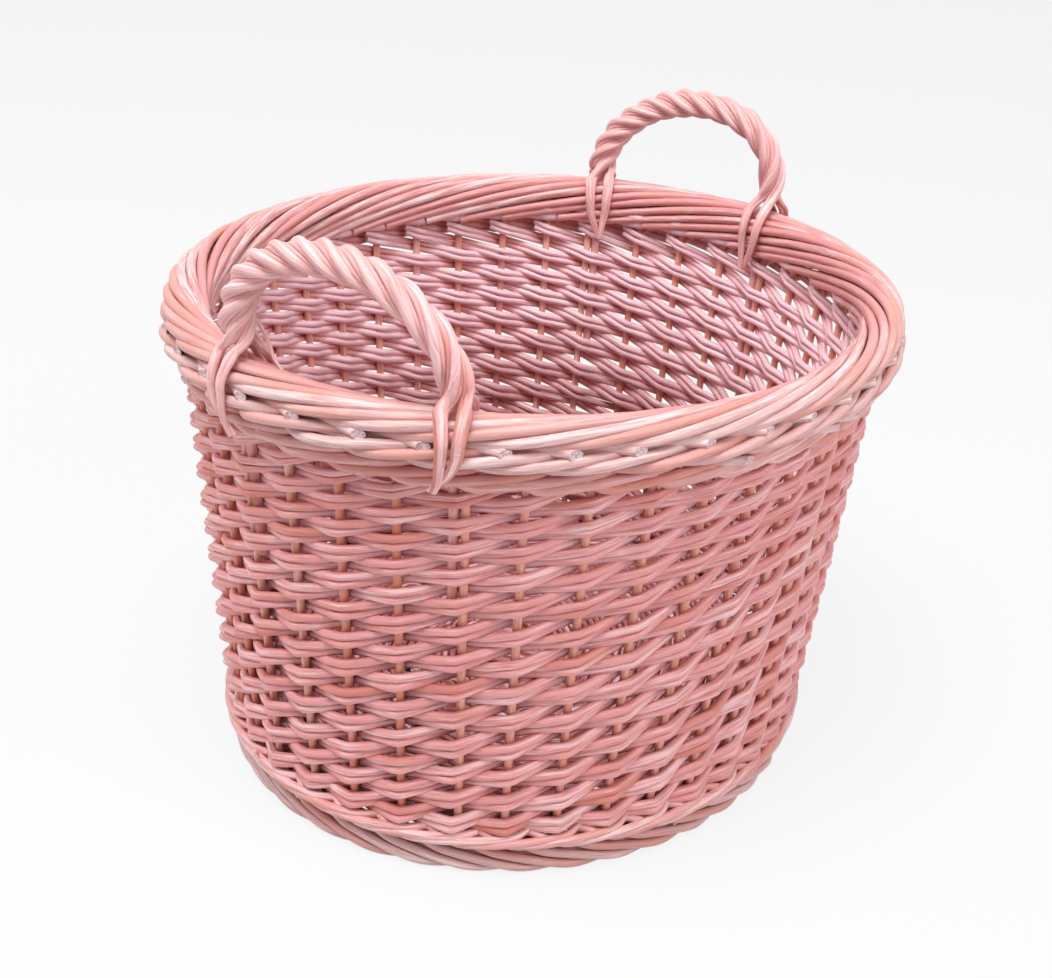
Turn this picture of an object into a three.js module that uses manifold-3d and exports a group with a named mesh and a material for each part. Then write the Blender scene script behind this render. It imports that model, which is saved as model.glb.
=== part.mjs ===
// Oval willow storage basket with two roped end handles, in millimetres, +Z up.
// The origin is on the floor under the middle of the basket, with +X along its length.
// It is built as a basket maker builds it: a split-stick base, stakes standing round the
// base, weavers and wales worked in and out of the stakes, a border that closes the rim,
// a foot border that carries the weight, and a bow and its roping for each handle.
import * as THREE from "three";
import Module from "manifold-3d";
import { mergeVertices } from "three/addons/utils/BufferGeometryUtils.js";

const wasm = await Module();
wasm.setup();

// Gap left between pieces that touch on the real basket
const clearance = 0.3;

// Outline of the basket, measured over the rim border and over the foot border
const rimLength = 450;
const rimWidth = 405;
const footLength = 380;
const footWidth = 340;

// Stakes, the uprights of the wall, joined two by two at their feet
const stakeCount = 40;
const stakeDiameter = 4.8;
const stakeSides = 6;
const stakeBendSize = 4;

// Side weave: each course is two rods laid one above the other
const courseCount = 24;
const courseHeight = 8.03;
const courseThickness = 5;

// Wales, rounds of single rods that lock the bottom and the top of the wall
const waleRodCount = 3;
const waleRodHeight = 5;
const waleRodThickness = 5.4;
const waleStroke = 4;

// Rim border, a round-topped ring with a groove underneath for the tops of the stakes. Its
// rolled rods show as ridges, which start at a margin from the foot of each face.
const borderHeight = 25;
const borderWidth = 26;
const borderFootRounding = 3;
const borderGrooveDepth = 12;
const borderRidgeCount = 9;
const borderRidgeDepth = 2.2;
const borderRidgeMargin = 1.8;

// Foot border, the ring that the basket stands on
const footHeight = 16;
const footOuterReach = 7;
const footInnerReach = 18;
const footRounding = 4;

// Base: a woven plate round a slath, five sticks passed through five split sticks
const baseThickness = 15;
const baseStickCount = 5;
const baseStickDiameter = 9;
const baseStickTipDiameter = 6.4;
const baseStickOverlap = 0.3;
const splitWall = 4.2;
const splitEnd = 6;

// Handles: a bow pushed down beside the stakes, and a rope of rods laid round it. The crown
// of each arch leans clockwise, seen from above, by the sway.
const handleStakeSteps = 2;
const bowDiameter = 5.6;
const bowLegDepth = 112;
const bowStraightRise = 12;
const bowArchRise = 48;
const bowArchSway = 7;
const bowSides = 6;
const bowArchSteps = 12;
const ropeDiameter = 20;
const ropeSides = 8;
const tailDiameter = 6.4;
const tailSides = 5;
const tailSpread = 5;
const tailTipRise = 4;
const tailBendDegrees = [75, 50, 25, 0];

const wood = { roughness: 0.62, metalness: 0 };
const weaveMaterial = new THREE.MeshStandardMaterial({ color: 0xdf9d96, ...wood });
const stakeMaterial = new THREE.MeshStandardMaterial({ color: 0xd08a76, ...wood });
const borderMaterial = new THREE.MeshStandardMaterial({ color: 0xeab0a6, ...wood });
const baseMaterial = new THREE.MeshStandardMaterial({ color: 0xd2918a, ...wood });
const handleMaterial = new THREE.MeshStandardMaterial({ color: 0xe6aa9e, ...wood });

const stakeRadius = stakeDiameter / 2;
const bowRadius = bowDiameter / 2;
const ropeRadius = ropeDiameter / 2;
const tailRadius = tailDiameter / 2;
const baseStickRadius = baseStickDiameter / 2;

// Heights, each stacked on the one below
const stakeBottom = footHeight + clearance;
const bottomWaleBase = stakeBottom + stakeDiameter + clearance;
const walePitch = waleRodHeight + clearance;
const coursePitch = courseHeight + clearance;
const weaveBase = bottomWaleBase + waleRodCount * walePitch;
const topWaleBase = weaveBase + courseCount * coursePitch;
const borderBase = topWaleBase + waleRodCount * walePitch;
const rimHeight = borderBase + borderHeight;
const baseMiddle = stakeBottom + baseThickness / 2;

// The wall's middle line is an oval whose half axes grow evenly from the floor to the rim
const rimHalf = { x: (rimLength - borderWidth) / 2, y: (rimWidth - borderWidth) / 2 };
const footHalf = { x: footLength / 2 - footOuterReach, y: footWidth / 2 - footOuterReach };
const wallSlope = Math.max(rimHalf.x - footHalf.x, rimHalf.y - footHalf.y) / rimHeight;
const stakeTop = borderBase + borderGrooveDepth - clearance - wallSlope * stakeRadius;

function wallHalfAxes(z) {
  const share = z / rimHeight;
  return {
    x: footHalf.x + (rimHalf.x - footHalf.x) * share,
    y: footHalf.y + (rimHalf.y - footHalf.y) * share,
  };
}

// Place on the oval at an angle and height, with its outward normal and its tangent
function wallPlace(angle, z) {
  const half = wallHalfAxes(z);
  const point = new THREE.Vector3(half.x * Math.cos(angle), half.y * Math.sin(angle), z);
  const normal = new THREE.Vector3(Math.cos(angle) / half.x, Math.sin(angle) / half.y, 0).normalize();
  const tangent = new THREE.Vector3(-normal.y, normal.x, 0);
  return { point, normal, tangent };
}

// Angles that share the oval at half height into equal lengths, counted in stake steps
const stakeAngle = (() => {
  const half = wallHalfAxes(rimHeight / 2);
  const samples = 3600;
  const lengths = [0];
  for (let i = 1; i <= samples; i += 1) {
    const a = ((i - 0.5) / samples) * Math.PI * 2;
    lengths.push(lengths[i - 1] + Math.hypot(half.x * Math.sin(a), half.y * Math.cos(a)));
  }
  return (step) => {
    const turns = step / stakeCount;
    const wanted = (turns - Math.floor(turns)) * lengths[samples];
    const i = Math.min(samples - 1, lengths.findIndex((length) => length > wanted) - 1);
    const part = (wanted - lengths[i]) / (lengths[i + 1] - lengths[i]);
    return ((i + part) / samples + Math.floor(turns)) * Math.PI * 2;
  };
})();

// The bow legs stand beside four of the stakes, on the side towards the handle's middle
const oppositeStep = stakeCount / 2;
const handleLegs = {
  right: [
    { step: stakeCount - handleStakeSteps, inward: 1 },
    { step: handleStakeSteps, inward: -1 },
  ],
  left: [
    { step: oppositeStep - handleStakeSteps, inward: 1 },
    { step: oppositeStep + handleStakeSteps, inward: -1 },
  ],
};
const bowLegs = Object.values(handleLegs).flat();
const stakeAside = bowRadius + clearance / 2;
const bowAside = stakeRadius + clearance / 2;
const bowLegBottom = rimHeight - bowLegDepth;

function legBeside(step) {
  return bowLegs.find((leg) => leg.step === step);
}

// A place beside a stake's own step, moved along the tangent
function placeAside(step, z, aside) {
  const place = wallPlace(stakeAngle(step), z);
  place.point.addScaledVector(place.tangent, aside);
  return place;
}

function stakePlace(step, z) {
  const leg = legBeside(step);
  return placeAside(step, z, leg ? -leg.inward * stakeAside : 0);
}

function bowLegPlace(leg, z) {
  return placeAside(leg.step, z, leg.inward * bowAside);
}

// A closed mesh from rings of points: each ring has the same count, and open rows are capped
function skin(rings, closed) {
  const sides = rings[0].length;
  const positions = rings.flat().flatMap((p) => [p.x, p.y, p.z]);
  const index = [];
  const rows = closed ? rings.length : rings.length - 1;
  for (let i = 0; i < rows; i += 1) {
    const here = i * sides;
    const next = ((i + 1) % rings.length) * sides;
    for (let j = 0; j < sides; j += 1) {
      const k = (j + 1) % sides;
      index.push(here + j, here + k, next + k, here + j, next + k, next + j);
    }
  }
  if (!closed) {
    const last = (rings.length - 1) * sides;
    for (let j = 1; j < sides - 1; j += 1) {
      index.push(0, j + 1, j, last, last + j, last + j + 1);
    }
  }
  const geometry = new THREE.BufferGeometry();
  geometry.setAttribute("position", new THREE.Float32BufferAttribute(positions, 3));
  geometry.setIndex(index);
  return geometry;
}

// A rod along a list of points, its section carried along without twisting. radiusAt gives
// the radius at a point of the list.
function rod(points, sides, radiusAt) {
  const directions = points.map((p, i) => {
    const before = points[Math.max(0, i - 1)];
    const after = points[Math.min(points.length - 1, i + 1)];
    return new THREE.Vector3().subVectors(after, before).normalize();
  });
  const across = new THREE.Vector3(0, 0, 1).cross(directions[0]);
  if (across.lengthSq() < 0.01) across.set(1, 0, 0);
  const rings = points.map((p, i) => {
    across.addScaledVector(directions[i], -across.dot(directions[i])).normalize();
    const upward = new THREE.Vector3().crossVectors(directions[i], across);
    const radius = radiusAt(i);
    return Array.from({ length: sides }, (_, j) => {
      const angle = (j / sides) * Math.PI * 2;
      return p
        .clone()
        .addScaledVector(across, radius * Math.cos(angle))
        .addScaledVector(upward, radius * Math.sin(angle));
    });
  });
  return skin(rings, false);
}

// A ring round the basket from a profile of [outward, height] pairs. The places run
// anticlockwise, and so does the profile with outward to the right and height upwards.
function ring(places, profile) {
  const inSkinOrder = [...profile].reverse();
  const rings = places.map((place) =>
    inSkinOrder.map(([outward, height]) =>
      place.point.clone().addScaledVector(place.normal, outward).setZ(place.point.z + height),
    ),
  );
  return skin(rings, true);
}

// A ring with ridges that each lie one ridge further on at the next place, so that they wind
// round it. The ridged part of the profile has grooves and ridges by turns.
function ridgedRing(places, ridged, plain) {
  const profile = [...ridged, ...plain].reverse();
  const sides = profile.length;
  const first = plain.length;
  const last = sides - 1;
  const index = [];
  const join = (a, b, c, d) => index.push(a, b, c, a, c, d);
  places.forEach((_, i) => {
    const here = i * sides;
    const next = ((i + 1) % places.length) * sides;
    join(here + last, here, next, next + last);
    for (let j = 0; j < first; j += 1) {
      join(here + j, here + j + 1, next + j + 1, next + j);
    }
    index.push(here + first, here + first + 1, next + first);
    index.push(here + first + 1, here + first + 2, next + first);
    for (let j = first + 2; j < last; j += 1) {
      join(here + j, here + j + 1, next + j - 1, next + j - 2);
    }
    join(here + last, next + last, next + last - 1, next + last - 2);
  });
  const positions = places.flatMap((place) =>
    profile.flatMap(([outward, height]) => {
      const point = place.point.clone().addScaledVector(place.normal, outward);
      return [point.x, point.y, place.point.z + height];
    }),
  );
  const geometry = new THREE.BufferGeometry();
  geometry.setAttribute("position", new THREE.Float32BufferAttribute(positions, 3));
  geometry.setIndex(index);
  return geometry;
}

function solidOf(geometry) {
  const plain = geometry.clone();
  plain.deleteAttribute("normal");
  plain.deleteAttribute("uv");
  const merged = mergeVertices(plain, 1e-3);
  const mesh = new wasm.Mesh({
    numProp: 3,
    vertProperties: new Float32Array(merged.getAttribute("position").array),
    triVerts: new Uint32Array(merged.index.array),
  });
  return new wasm.Manifold(mesh);
}

function geometryOf(solid) {
  const mesh = solid.getMesh();
  const geometry = new THREE.BufferGeometry();
  geometry.setAttribute("position", new THREE.Float32BufferAttribute(mesh.vertProperties, 3));
  geometry.setIndex(new THREE.Uint32BufferAttribute(mesh.triVerts, 1));
  return geometry;
}

const basket = new THREE.Group();

function addPiece(name, geometry, material) {
  geometry.computeVertexNormals();
  const mesh = new THREE.Mesh(geometry, material);
  mesh.name = name;
  basket.add(mesh);
}

const twoDigits = (number) => String(number).padStart(2, "0");

// How far a weaver's middle swings from the wall's middle line to clear an upright,
// given how steeply it crosses over to the other side of the next one
function weaveReach(thickness, height, z) {
  const half = wallHalfAxes(z);
  const spacing = (Math.PI * (half.x + half.y)) / stakeCount;
  const room = Math.max(stakeRadius, bowRadius) + clearance;
  let reach = room + thickness / 2;
  for (let i = 0; i < 4; i += 1) {
    const crossing = Math.atan((2 * reach) / (spacing - 2 * stakeAside - 2 * bowRadius));
    reach = room / Math.cos(crossing) + thickness / 2;
  }
  return reach + (wallSlope * height) / 2;
}

// One closed round of weaving. sideOf says whether it passes outside (1) or inside (-1)
// a stake. A stake with a bow leg beside it is passed with a flat, as wide as the pair.
function wovenRound(z, height, thickness, sideOf) {
  const middle = z + height / 2;
  const beside = z + height > bowLegBottom - clearance;
  const reach = weaveReach(thickness, height, middle);
  const places = [];
  for (let step = 0; step < stakeCount; step += 1) {
    const leg = legBeside(step);
    const outward = sideOf(step) * reach;
    const stops = leg && beside ? [-stakeAside, bowAside] : [leg ? -stakeAside : 0];
    const turn = leg ? leg.inward : 1;
    const asides = stops.map((stop) => stop * turn).sort((a, b) => a - b);
    asides.forEach((aside) => {
      const place = placeAside(step, middle, aside);
      place.point.addScaledVector(place.normal, outward);
      places.push(place);
    });
  }
  const w = thickness / 2;
  const h = height / 2;
  return ring(places, [[w, -h], [w, h], [-w, h], [-w, -h]]);
}

const allSteps = Array.from({ length: stakeCount }, (_, i) => i);

// Side weave: the rounds pass outside the even and the odd stakes by turns
for (let course = 0; course < courseCount; course += 1) {
  const z = weaveBase + course * coursePitch;
  const sideOf = (step) => ((step + course) % 2 === 0 ? 1 : -1);
  const geometry = wovenRound(z, courseHeight, courseThickness, sideOf);
  addPiece(`side_weave_${twoDigits(course + 1)}`, geometry, weaveMaterial);
}

// Wales: each rod passes outside three stakes and inside the fourth
for (let i = 0; i < waleRodCount; i += 1) {
  const sideOf = (step) => ((step + i) % waleStroke === 0 ? -1 : 1);
  const levels = { bottom_wale: bottomWaleBase, top_wale: topWaleBase };
  for (const [name, level] of Object.entries(levels)) {
    const geometry = wovenRound(level + i * walePitch, waleRodHeight, waleRodThickness, sideOf);
    addPiece(`${name}_${i + 1}`, geometry, borderMaterial);
  }
}

// Stakes: each pair of neighbours is joined by a bend that lies on the foot border
for (let pair = 0; pair < stakeCount / 2; pair += 1) {
  const bendHeight = stakeBottom + stakeRadius;
  const upright = (step, next) => {
    const corner = stakePlace(step, bendHeight).point;
    const sideways = stakePlace(next, bendHeight).point.sub(corner).setLength(stakeBendSize);
    return [
      stakePlace(step, stakeTop).point,
      stakePlace(step, bendHeight + stakeBendSize).point,
      corner.add(sideways),
    ];
  };
  const [first, second] = [2 * pair, 2 * pair + 1];
  const points = [...upright(first, second), ...upright(second, first).reverse()];
  const geometry = rod(points, stakeSides, () => stakeRadius);
  addPiece(`stake_pair_${twoDigits(pair + 1)}`, geometry, stakeMaterial);
}

const topWaleReach =
  weaveReach(waleRodThickness, waleRodHeight, topWaleBase) + waleRodThickness / 2;

// Handle bows: up one leg, round the arch and down the other leg
function bowPoints(firstLeg, secondLeg, bottom) {
  const straightTop = rimHeight + bowStraightRise;
  const legs = [firstLeg, secondLeg].map((leg) => ({
    low: bowLegPlace(leg, bottom).point,
    high: bowLegPlace(leg, straightTop).point,
  }));
  const middle = legs[0].high.clone().lerp(legs[1].high, 0.5);
  const half = legs[1].high.clone().sub(middle);
  const clockwise = half.clone().normalize().negate();
  const lean = legs[0].high.clone().sub(legs[0].low).add(legs[1].high).sub(legs[1].low);
  lean.normalize();
  const points = [legs[0].low];
  for (let i = 0; i <= bowArchSteps; i += 1) {
    const turn = (i / bowArchSteps) * Math.PI;
    points.push(
      middle
        .clone()
        .addScaledVector(half, -Math.cos(turn))
        .addScaledVector(lean, bowArchRise * Math.sin(turn))
        .addScaledVector(clockwise, bowArchSway * Math.sin(turn)),
    );
  }
  points.push(legs[1].low);
  return points;
}

// Roping: rods laid round the bow from border to border. At each leg they part into two
// tails down each face of the border, which meet in a point on the wale.
function ropeSolid(firstLeg, secondLeg) {
  const bottom = rimHeight + clearance + wallSlope * ropeRadius;
  const points = bowPoints(firstLeg, secondLeg, bottom);
  let solid = solidOf(rod(points, ropeSides, () => ropeRadius));
  for (const leg of [firstLeg, secondLeg]) {
    for (const face of [1, -1]) {
      for (const side of [1, -1]) {
        solid = solid.add(solidOf(rod(tailPoints(leg, face, side), tailSides, () => tailRadius)));
      }
    }
  }
  return solid;
}

// A tail bends over the round top of the border, on its outer face (1) or inner face (-1),
// and leans in to the wale at its tip
function tailPoints(leg, face, side) {
  const facetSag = (bowAside + tailSpread + tailRadius) * Math.sin(Math.PI / stakeCount);
  const away = tailRadius + clearance + facetSag;
  const reach = borderWidth / 2 + away;
  const stops = tailBendDegrees.map((degrees) => {
    const turn = (degrees / 180) * Math.PI;
    return {
      outward: reach * Math.cos(turn),
      z: rimHeight - borderWidth / 2 + reach * Math.sin(turn),
      spread: tailSpread,
    };
  });
  stops.push({ outward: reach, z: borderBase, spread: tailSpread / 2 });
  stops.push({ outward: topWaleReach + away, z: topWaleBase + tailTipRise, spread: 0 });
  return stops.map(({ outward, z, spread }) => {
    const place = bowLegPlace(leg, z);
    const lean = wallHalfAxes(rimHeight).x - wallHalfAxes(z).x;
    place.point.addScaledVector(place.tangent, side * spread);
    return place.point.addScaledVector(place.normal, face * outward + (z < borderBase ? 0 : lean));
  });
}

let bowRoom = null;
for (const [side, [firstLeg, secondLeg]] of Object.entries(handleLegs)) {
  const points = bowPoints(firstLeg, secondLeg, bowLegBottom);
  addPiece(`handle_bow_${side}`, rod(points, bowSides, () => bowRadius), handleMaterial);
  const room = solidOf(rod(points, bowSides, () => bowRadius + clearance));
  const rope = ropeSolid(firstLeg, secondLeg).subtract(room);
  addPiece(`handle_rope_${side}`, geometryOf(rope), handleMaterial);
  bowRoom = bowRoom ? bowRoom.add(room) : room;
}

// Place on the border's outline at a length along it from its outer foot, in to a depth
const borderMiddle = borderHeight - borderWidth / 2;
const borderOutline = 2 * borderMiddle + (Math.PI * borderWidth) / 2;

function borderPoint(length, depth) {
  const radius = borderWidth / 2 - depth;
  if (length < borderMiddle) return [radius, length];
  if (length > borderOutline - borderMiddle) return [-radius, borderOutline - length];
  const turn = (length - borderMiddle) / (borderWidth / 2);
  return [radius * Math.cos(turn), borderMiddle + radius * Math.sin(turn)];
}

// Rim border, with its groove over the stakes and four holes for the bow legs
const ridgeStep = (borderOutline - 2 * borderRidgeMargin) / (2 * borderRidgeCount);
const borderRidges = Array.from({ length: 2 * borderRidgeCount + 1 }, (_, i) =>
  borderPoint(borderRidgeMargin + i * ridgeStep, i % 2 === 0 ? borderRidgeDepth : 0),
);
const grooveReach = Math.max(stakeRadius, bowRadius) + 2 * clearance;
const grooveInner = grooveReach + wallSlope * borderHeight;
const grooveOuter = grooveReach - wallSlope * (borderHeight - borderGrooveDepth);
const borderFootReach = borderWidth / 2 - borderFootRounding;
const borderUnderside = [
  [-borderFootReach, 0],
  [-grooveInner, 0],
  [-grooveInner, borderGrooveDepth],
  [grooveOuter, borderGrooveDepth],
  [grooveOuter, 0],
  [borderFootReach, 0],
];
const borderPlaces = allSteps.map((step) => {
  const place = wallPlace(stakeAngle(step), rimHeight);
  place.point.setZ(borderBase);
  return place;
});
const border = solidOf(ridgedRing(borderPlaces, borderRidges, borderUnderside)).subtract(bowRoom);
addPiece("rim_border", geometryOf(border), borderMaterial);

// Foot border, flat underneath
const footProfile = [
  [footOuterReach - footRounding, 0],
  [footOuterReach, footRounding],
  [footOuterReach, footHeight - footRounding],
  [footOuterReach - footRounding, footHeight],
  [-footInnerReach, footHeight],
  [-footInnerReach, footRounding],
  [-footInnerReach + footRounding, 0],
];
const footPlaces = allSteps.map((step) => wallPlace(stakeAngle(step), 0));
addPiece("foot_border", ring(footPlaces, footProfile), borderMaterial);

// Base plate edge: inside the bottom wale and the stakes
const bottomWaleReach =
  weaveReach(waleRodThickness, waleRodHeight, bottomWaleBase) + waleRodThickness / 2;
const plateInset = bottomWaleReach + clearance;

function plateEdge(step, extra) {
  const place = wallPlace(stakeAngle(step), stakeBottom);
  return place.point.addScaledVector(place.normal, extra - plateInset);
}

// Base sticks run side by side through the middle, then fan out between pairs of stakes
const stickPitch = baseStickDiameter - baseStickOverlap;
const bundleHalf = ((baseStickCount - 1) / 2) * stickPitch + baseStickRadius;
const splitHalfHeight = baseStickRadius + clearance + splitWall;
const splitHalfLength = bundleHalf + clearance + splitEnd;
const stickEndSteps = stakeCount / (4 * baseStickCount);

// Where a stick ends on one of the four sides: place counts the sticks from the middle one
function stickEnd(side, place, extra) {
  const step = (side * stakeCount) / 4 + 0.5 + place * stickEndSteps;
  return plateEdge(step, extra);
}

// One stick of the bundle that runs along X (turn 0) or along Y (turn 1)
function stickPoints(turn, place, extra) {
  const aside = place * stickPitch;
  const [headPlace, tailPlace] = turn === 0 ? [place, -place] : [-place, place];
  const inner = [splitHalfLength, -splitHalfLength].map((along) =>
    turn === 0 ? new THREE.Vector3(along, aside, 0) : new THREE.Vector3(aside, along, 0),
  );
  const head = stickEnd(turn, headPlace, extra);
  const tail = stickEnd(turn + 2, tailPlace, extra);
  return [head, ...inner, tail].map((p) => p.setZ(baseMiddle));
}

function stickBundle(turn, gap) {
  const radii = [baseStickTipDiameter / 2, baseStickRadius, baseStickRadius, baseStickTipDiameter / 2];
  let bundle = null;
  for (let i = 0; i < baseStickCount; i += 1) {
    const points = stickPoints(turn, i - (baseStickCount - 1) / 2, gap);
    const stick = solidOf(rod(points, stakeSides, (k) => radii[k] + gap));
    bundle = bundle ? bundle.add(stick) : stick;
  }
  return bundle;
}

function box(halfX, halfY, halfZ) {
  const geometry = new THREE.BoxGeometry(2 * halfX, 2 * halfY, 2 * halfZ);
  geometry.translate(0, 0, baseMiddle);
  return solidOf(geometry);
}

// The split sticks swell where the other five pass through them
const throughSticks = stickBundle(0, 0);
const slit = box(splitHalfLength, bundleHalf + clearance, baseStickRadius + clearance);
const swelling = box(bundleHalf, splitHalfLength, splitHalfHeight);
const splitSticks = stickBundle(1, 0).add(swelling).subtract(slit);
addPiece("base_through_sticks", geometryOf(throughSticks), baseMaterial);
addPiece("base_split_sticks", geometryOf(splitSticks), baseMaterial);

// Woven base plate, lying on the foot border, with a tunnel for every stick
const plateProfile = allSteps.map((step) => plateEdge(step, 0));
const plateShape = new THREE.Shape(plateProfile.map((p) => new THREE.Vector2(p.x, p.y)));
const plateGeometry = new THREE.ExtrudeGeometry(plateShape, {
  depth: baseThickness,
  bevelEnabled: false,
});
plateGeometry.translate(0, 0, stakeBottom);
const swellingRoom = box(
  bundleHalf + clearance,
  splitHalfLength + clearance,
  splitHalfHeight + clearance,
);
const plate = solidOf(plateGeometry)
  .subtract(swellingRoom)
  .subtract(stickBundle(0, clearance))
  .subtract(stickBundle(1, clearance));
addPiece("base_weave", geometryOf(plate), baseMaterial);

export default basket;
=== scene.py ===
"""Oval storage basket of painted willow rods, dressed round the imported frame.

Every rod of the real basket is laid along its own path: the stakes, the weavers that go in and
out of them, the wales, the rolled rim and foot borders, the base and the roped handles. All of
them are round rods swept by the same few lines, in metres, in the frame's own axes.
"""

import bisect
import functools
import logging
import math
import random
from dataclasses import dataclass
from enum import Enum
from typing import NamedTuple

import bmesh
import bpy
from mathutils import Matrix, Vector

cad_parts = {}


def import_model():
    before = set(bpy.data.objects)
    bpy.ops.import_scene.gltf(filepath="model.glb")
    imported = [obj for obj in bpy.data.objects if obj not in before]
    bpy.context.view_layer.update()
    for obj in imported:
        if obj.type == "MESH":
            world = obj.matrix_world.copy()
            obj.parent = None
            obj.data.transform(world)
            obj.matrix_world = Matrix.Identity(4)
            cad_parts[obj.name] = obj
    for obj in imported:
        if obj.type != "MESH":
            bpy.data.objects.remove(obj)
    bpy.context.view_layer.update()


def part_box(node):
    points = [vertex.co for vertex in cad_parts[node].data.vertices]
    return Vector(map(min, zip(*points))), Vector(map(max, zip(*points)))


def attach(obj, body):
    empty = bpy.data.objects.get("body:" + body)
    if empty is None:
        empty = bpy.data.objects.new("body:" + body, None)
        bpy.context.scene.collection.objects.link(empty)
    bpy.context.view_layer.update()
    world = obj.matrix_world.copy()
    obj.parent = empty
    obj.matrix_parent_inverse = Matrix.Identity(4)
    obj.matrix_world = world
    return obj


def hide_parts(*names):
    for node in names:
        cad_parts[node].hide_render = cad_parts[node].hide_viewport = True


LOG = logging.getLogger("basket")
MM = 0.001
TURN = 2 * math.pi
UP = Vector((0, 0, 1))
# The rounding of a rod's end, inward and lengthwise, as shares of its radius
CHAMFER = (0.16, 0.1)
Colour = tuple[float, float, float]
WHITE = (1.0, 1.0, 1.0, 1.0)
# How far the frame's two borders stand out from the wall's middle line
RIM_OVERHANG = 13 * MM
FOOT_OVERHANG = 7 * MM


def linear(red: float, green: float, blue: float) -> Colour:
    """Turns a colour as seen on screen into the linear one that a shader takes."""
    return tuple(v / 12.92 if v <= 0.04045 else ((v + 0.055) / 1.055) ** 2.4 for v in (red, green, blue))


def ease(share: float) -> float:
    """Runs smoothly from 0 to 1 while share does, and stays there outside."""
    share = min(1.0, max(0.0, share))
    return share * share * (3 - 2 * share)


def blend(first: float, second: float, share: float) -> float:
    """Goes from the first number to the second as share goes from 0 to 1."""
    return first + (second - first) * share


def course_steps(first: float, last: float, per_step: int) -> list[float]:
    """Shares a run of stake steps into short, equal ones.

    Args:
        first: the step at which the run starts.
        last: the step at which it ends.
        per_step: how many points one stake step takes.

    Returns:
        The steps, with both ends.
    """
    count = max(2, round((last - first) * per_step))
    return [blend(first, last, i / count) for i in range(count + 1)]


class Wander:
    """A slow, repeatable drift between about -1 and 1, for the unevenness of hand work.

    Args:
        rng: the source of its waves.
        slowest: the least speed that a wave may have, in radians for a step.
        fastest: the greatest.
    """

    def __init__(self, rng: random.Random, slowest: float = 0.25, fastest: float = 1.6) -> None:
        """Draws three waves."""
        self.waves = [(rng.uniform(slowest, fastest), rng.uniform(0, TURN)) for _ in range(3)]

    def at(self, step: float) -> float:
        """Returns the drift at a stake step."""
        return sum(math.sin(speed * step + start) for speed, start in self.waves) / 3


class Place(NamedTuple):
    """A point of the wall's middle line, with its level outward and anticlockwise directions."""

    point: Vector
    normal: Vector
    tangent: Vector

    def moved(self, out: float, up: float = 0.0, aside: float = 0.0) -> Vector:
        """Returns the point, moved outward, up and anticlockwise."""
        return self.point + self.normal * out + UP * up + self.tangent * aside


@dataclass(frozen=True)
class Wall:
    """The oval wall, whose half axes grow evenly from the floor to the rim.

    Args:
        foot: half axes along X and Y at the floor.
        rim: half axes at the rim.
        height: the rim's height.
        stakes: how many stakes share the oval.
    """

    foot: tuple[float, float]
    rim: tuple[float, float]
    height: float
    stakes: int = 40

    def half_axes(self, z: float) -> tuple[float, float]:
        """Returns the half axes at a height."""
        share = z / self.height
        return blend(self.foot[0], self.rim[0], share), blend(self.foot[1], self.rim[1], share)

    @functools.cached_property
    def lengths(self) -> list[float]:
        """Lengths along the oval at half height, at equal angles."""
        a, b = self.half_axes(self.height / 2)
        samples = 1440
        lengths = [0.0]
        for i in range(samples):
            angle = (i + 0.5) / samples * TURN
            lengths.append(lengths[-1] + math.hypot(a * math.sin(angle), b * math.cos(angle)))
        return lengths

    def angle(self, step: float) -> float:
        """Finds the oval's angle at a stake step, the steps being equally long.

        Args:
            step: the step, counted anticlockwise from +X.

        Returns:
            The angle, in radians.
        """
        turns = math.floor(step / self.stakes)
        wanted = (step / self.stakes - turns) * self.lengths[-1]
        i = min(len(self.lengths) - 2, bisect.bisect_right(self.lengths, wanted) - 1)
        part = (wanted - self.lengths[i]) / (self.lengths[i + 1] - self.lengths[i])
        return ((i + part) / (len(self.lengths) - 1) + turns) * TURN

    def place(self, step: float, z: float) -> Place:
        """Finds a place on the wall's middle line.

        Args:
            step: the stake step.
            z: the height.

        Returns:
            The place.
        """
        a, b = self.half_axes(z)
        angle = self.angle(step)
        normal = Vector((math.cos(angle) / a, math.sin(angle) / b, 0)).normalized()
        tangent = Vector((-normal.y, normal.x, 0))
        return Place(Vector((a * math.cos(angle), b * math.sin(angle), z)), normal, tangent)


class Socket:
    """A shader value that takes part in Python sums, each of which adds a Math node."""

    def __init__(self, graph: "Graph", output: bpy.types.NodeSocket) -> None:
        """Wraps an output of a node."""
        self.graph = graph
        self.output = output

    def _sum(self, operation: str, first: object, second: object) -> "Socket":
        """Adds the Math node of one operator."""
        return self.graph.add("ShaderNodeMath", {"operation": operation}, {0: first, 1: second})

    def __add__(self, other: object) -> "Socket":
        """Adds."""
        return self._sum("ADD", self, other)

    def __mul__(self, other: object) -> "Socket":
        """Multiplies."""
        return self._sum("MULTIPLY", self, other)

    def __sub__(self, other: object) -> "Socket":
        """Subtracts."""
        return self._sum("SUBTRACT", self, other)

    def __rsub__(self, other: object) -> "Socket":
        """Subtracts from a number."""
        return self._sum("SUBTRACT", other, self)

    def __truediv__(self, other: object) -> "Socket":
        """Divides."""
        return self._sum("DIVIDE", self, other)

    def __pow__(self, other: object) -> "Socket":
        """Raises to a power."""
        return self._sum("POWER", self, other)

    __radd__ = __add__
    __rmul__ = __mul__


class Grain(NamedTuple):
    """How often a noise changes along and across a rod, per metre, and how fine it is."""

    along: float
    across: float
    detail: float = 2.0
    roughness: float = 0.5


BLOTCHES = Grain(along=11.0, across=90.0)
STREAKS = Grain(along=45.0, across=850.0, detail=3.0, roughness=0.6)
SPECKS = Grain(along=420.0, across=900.0)


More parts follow.
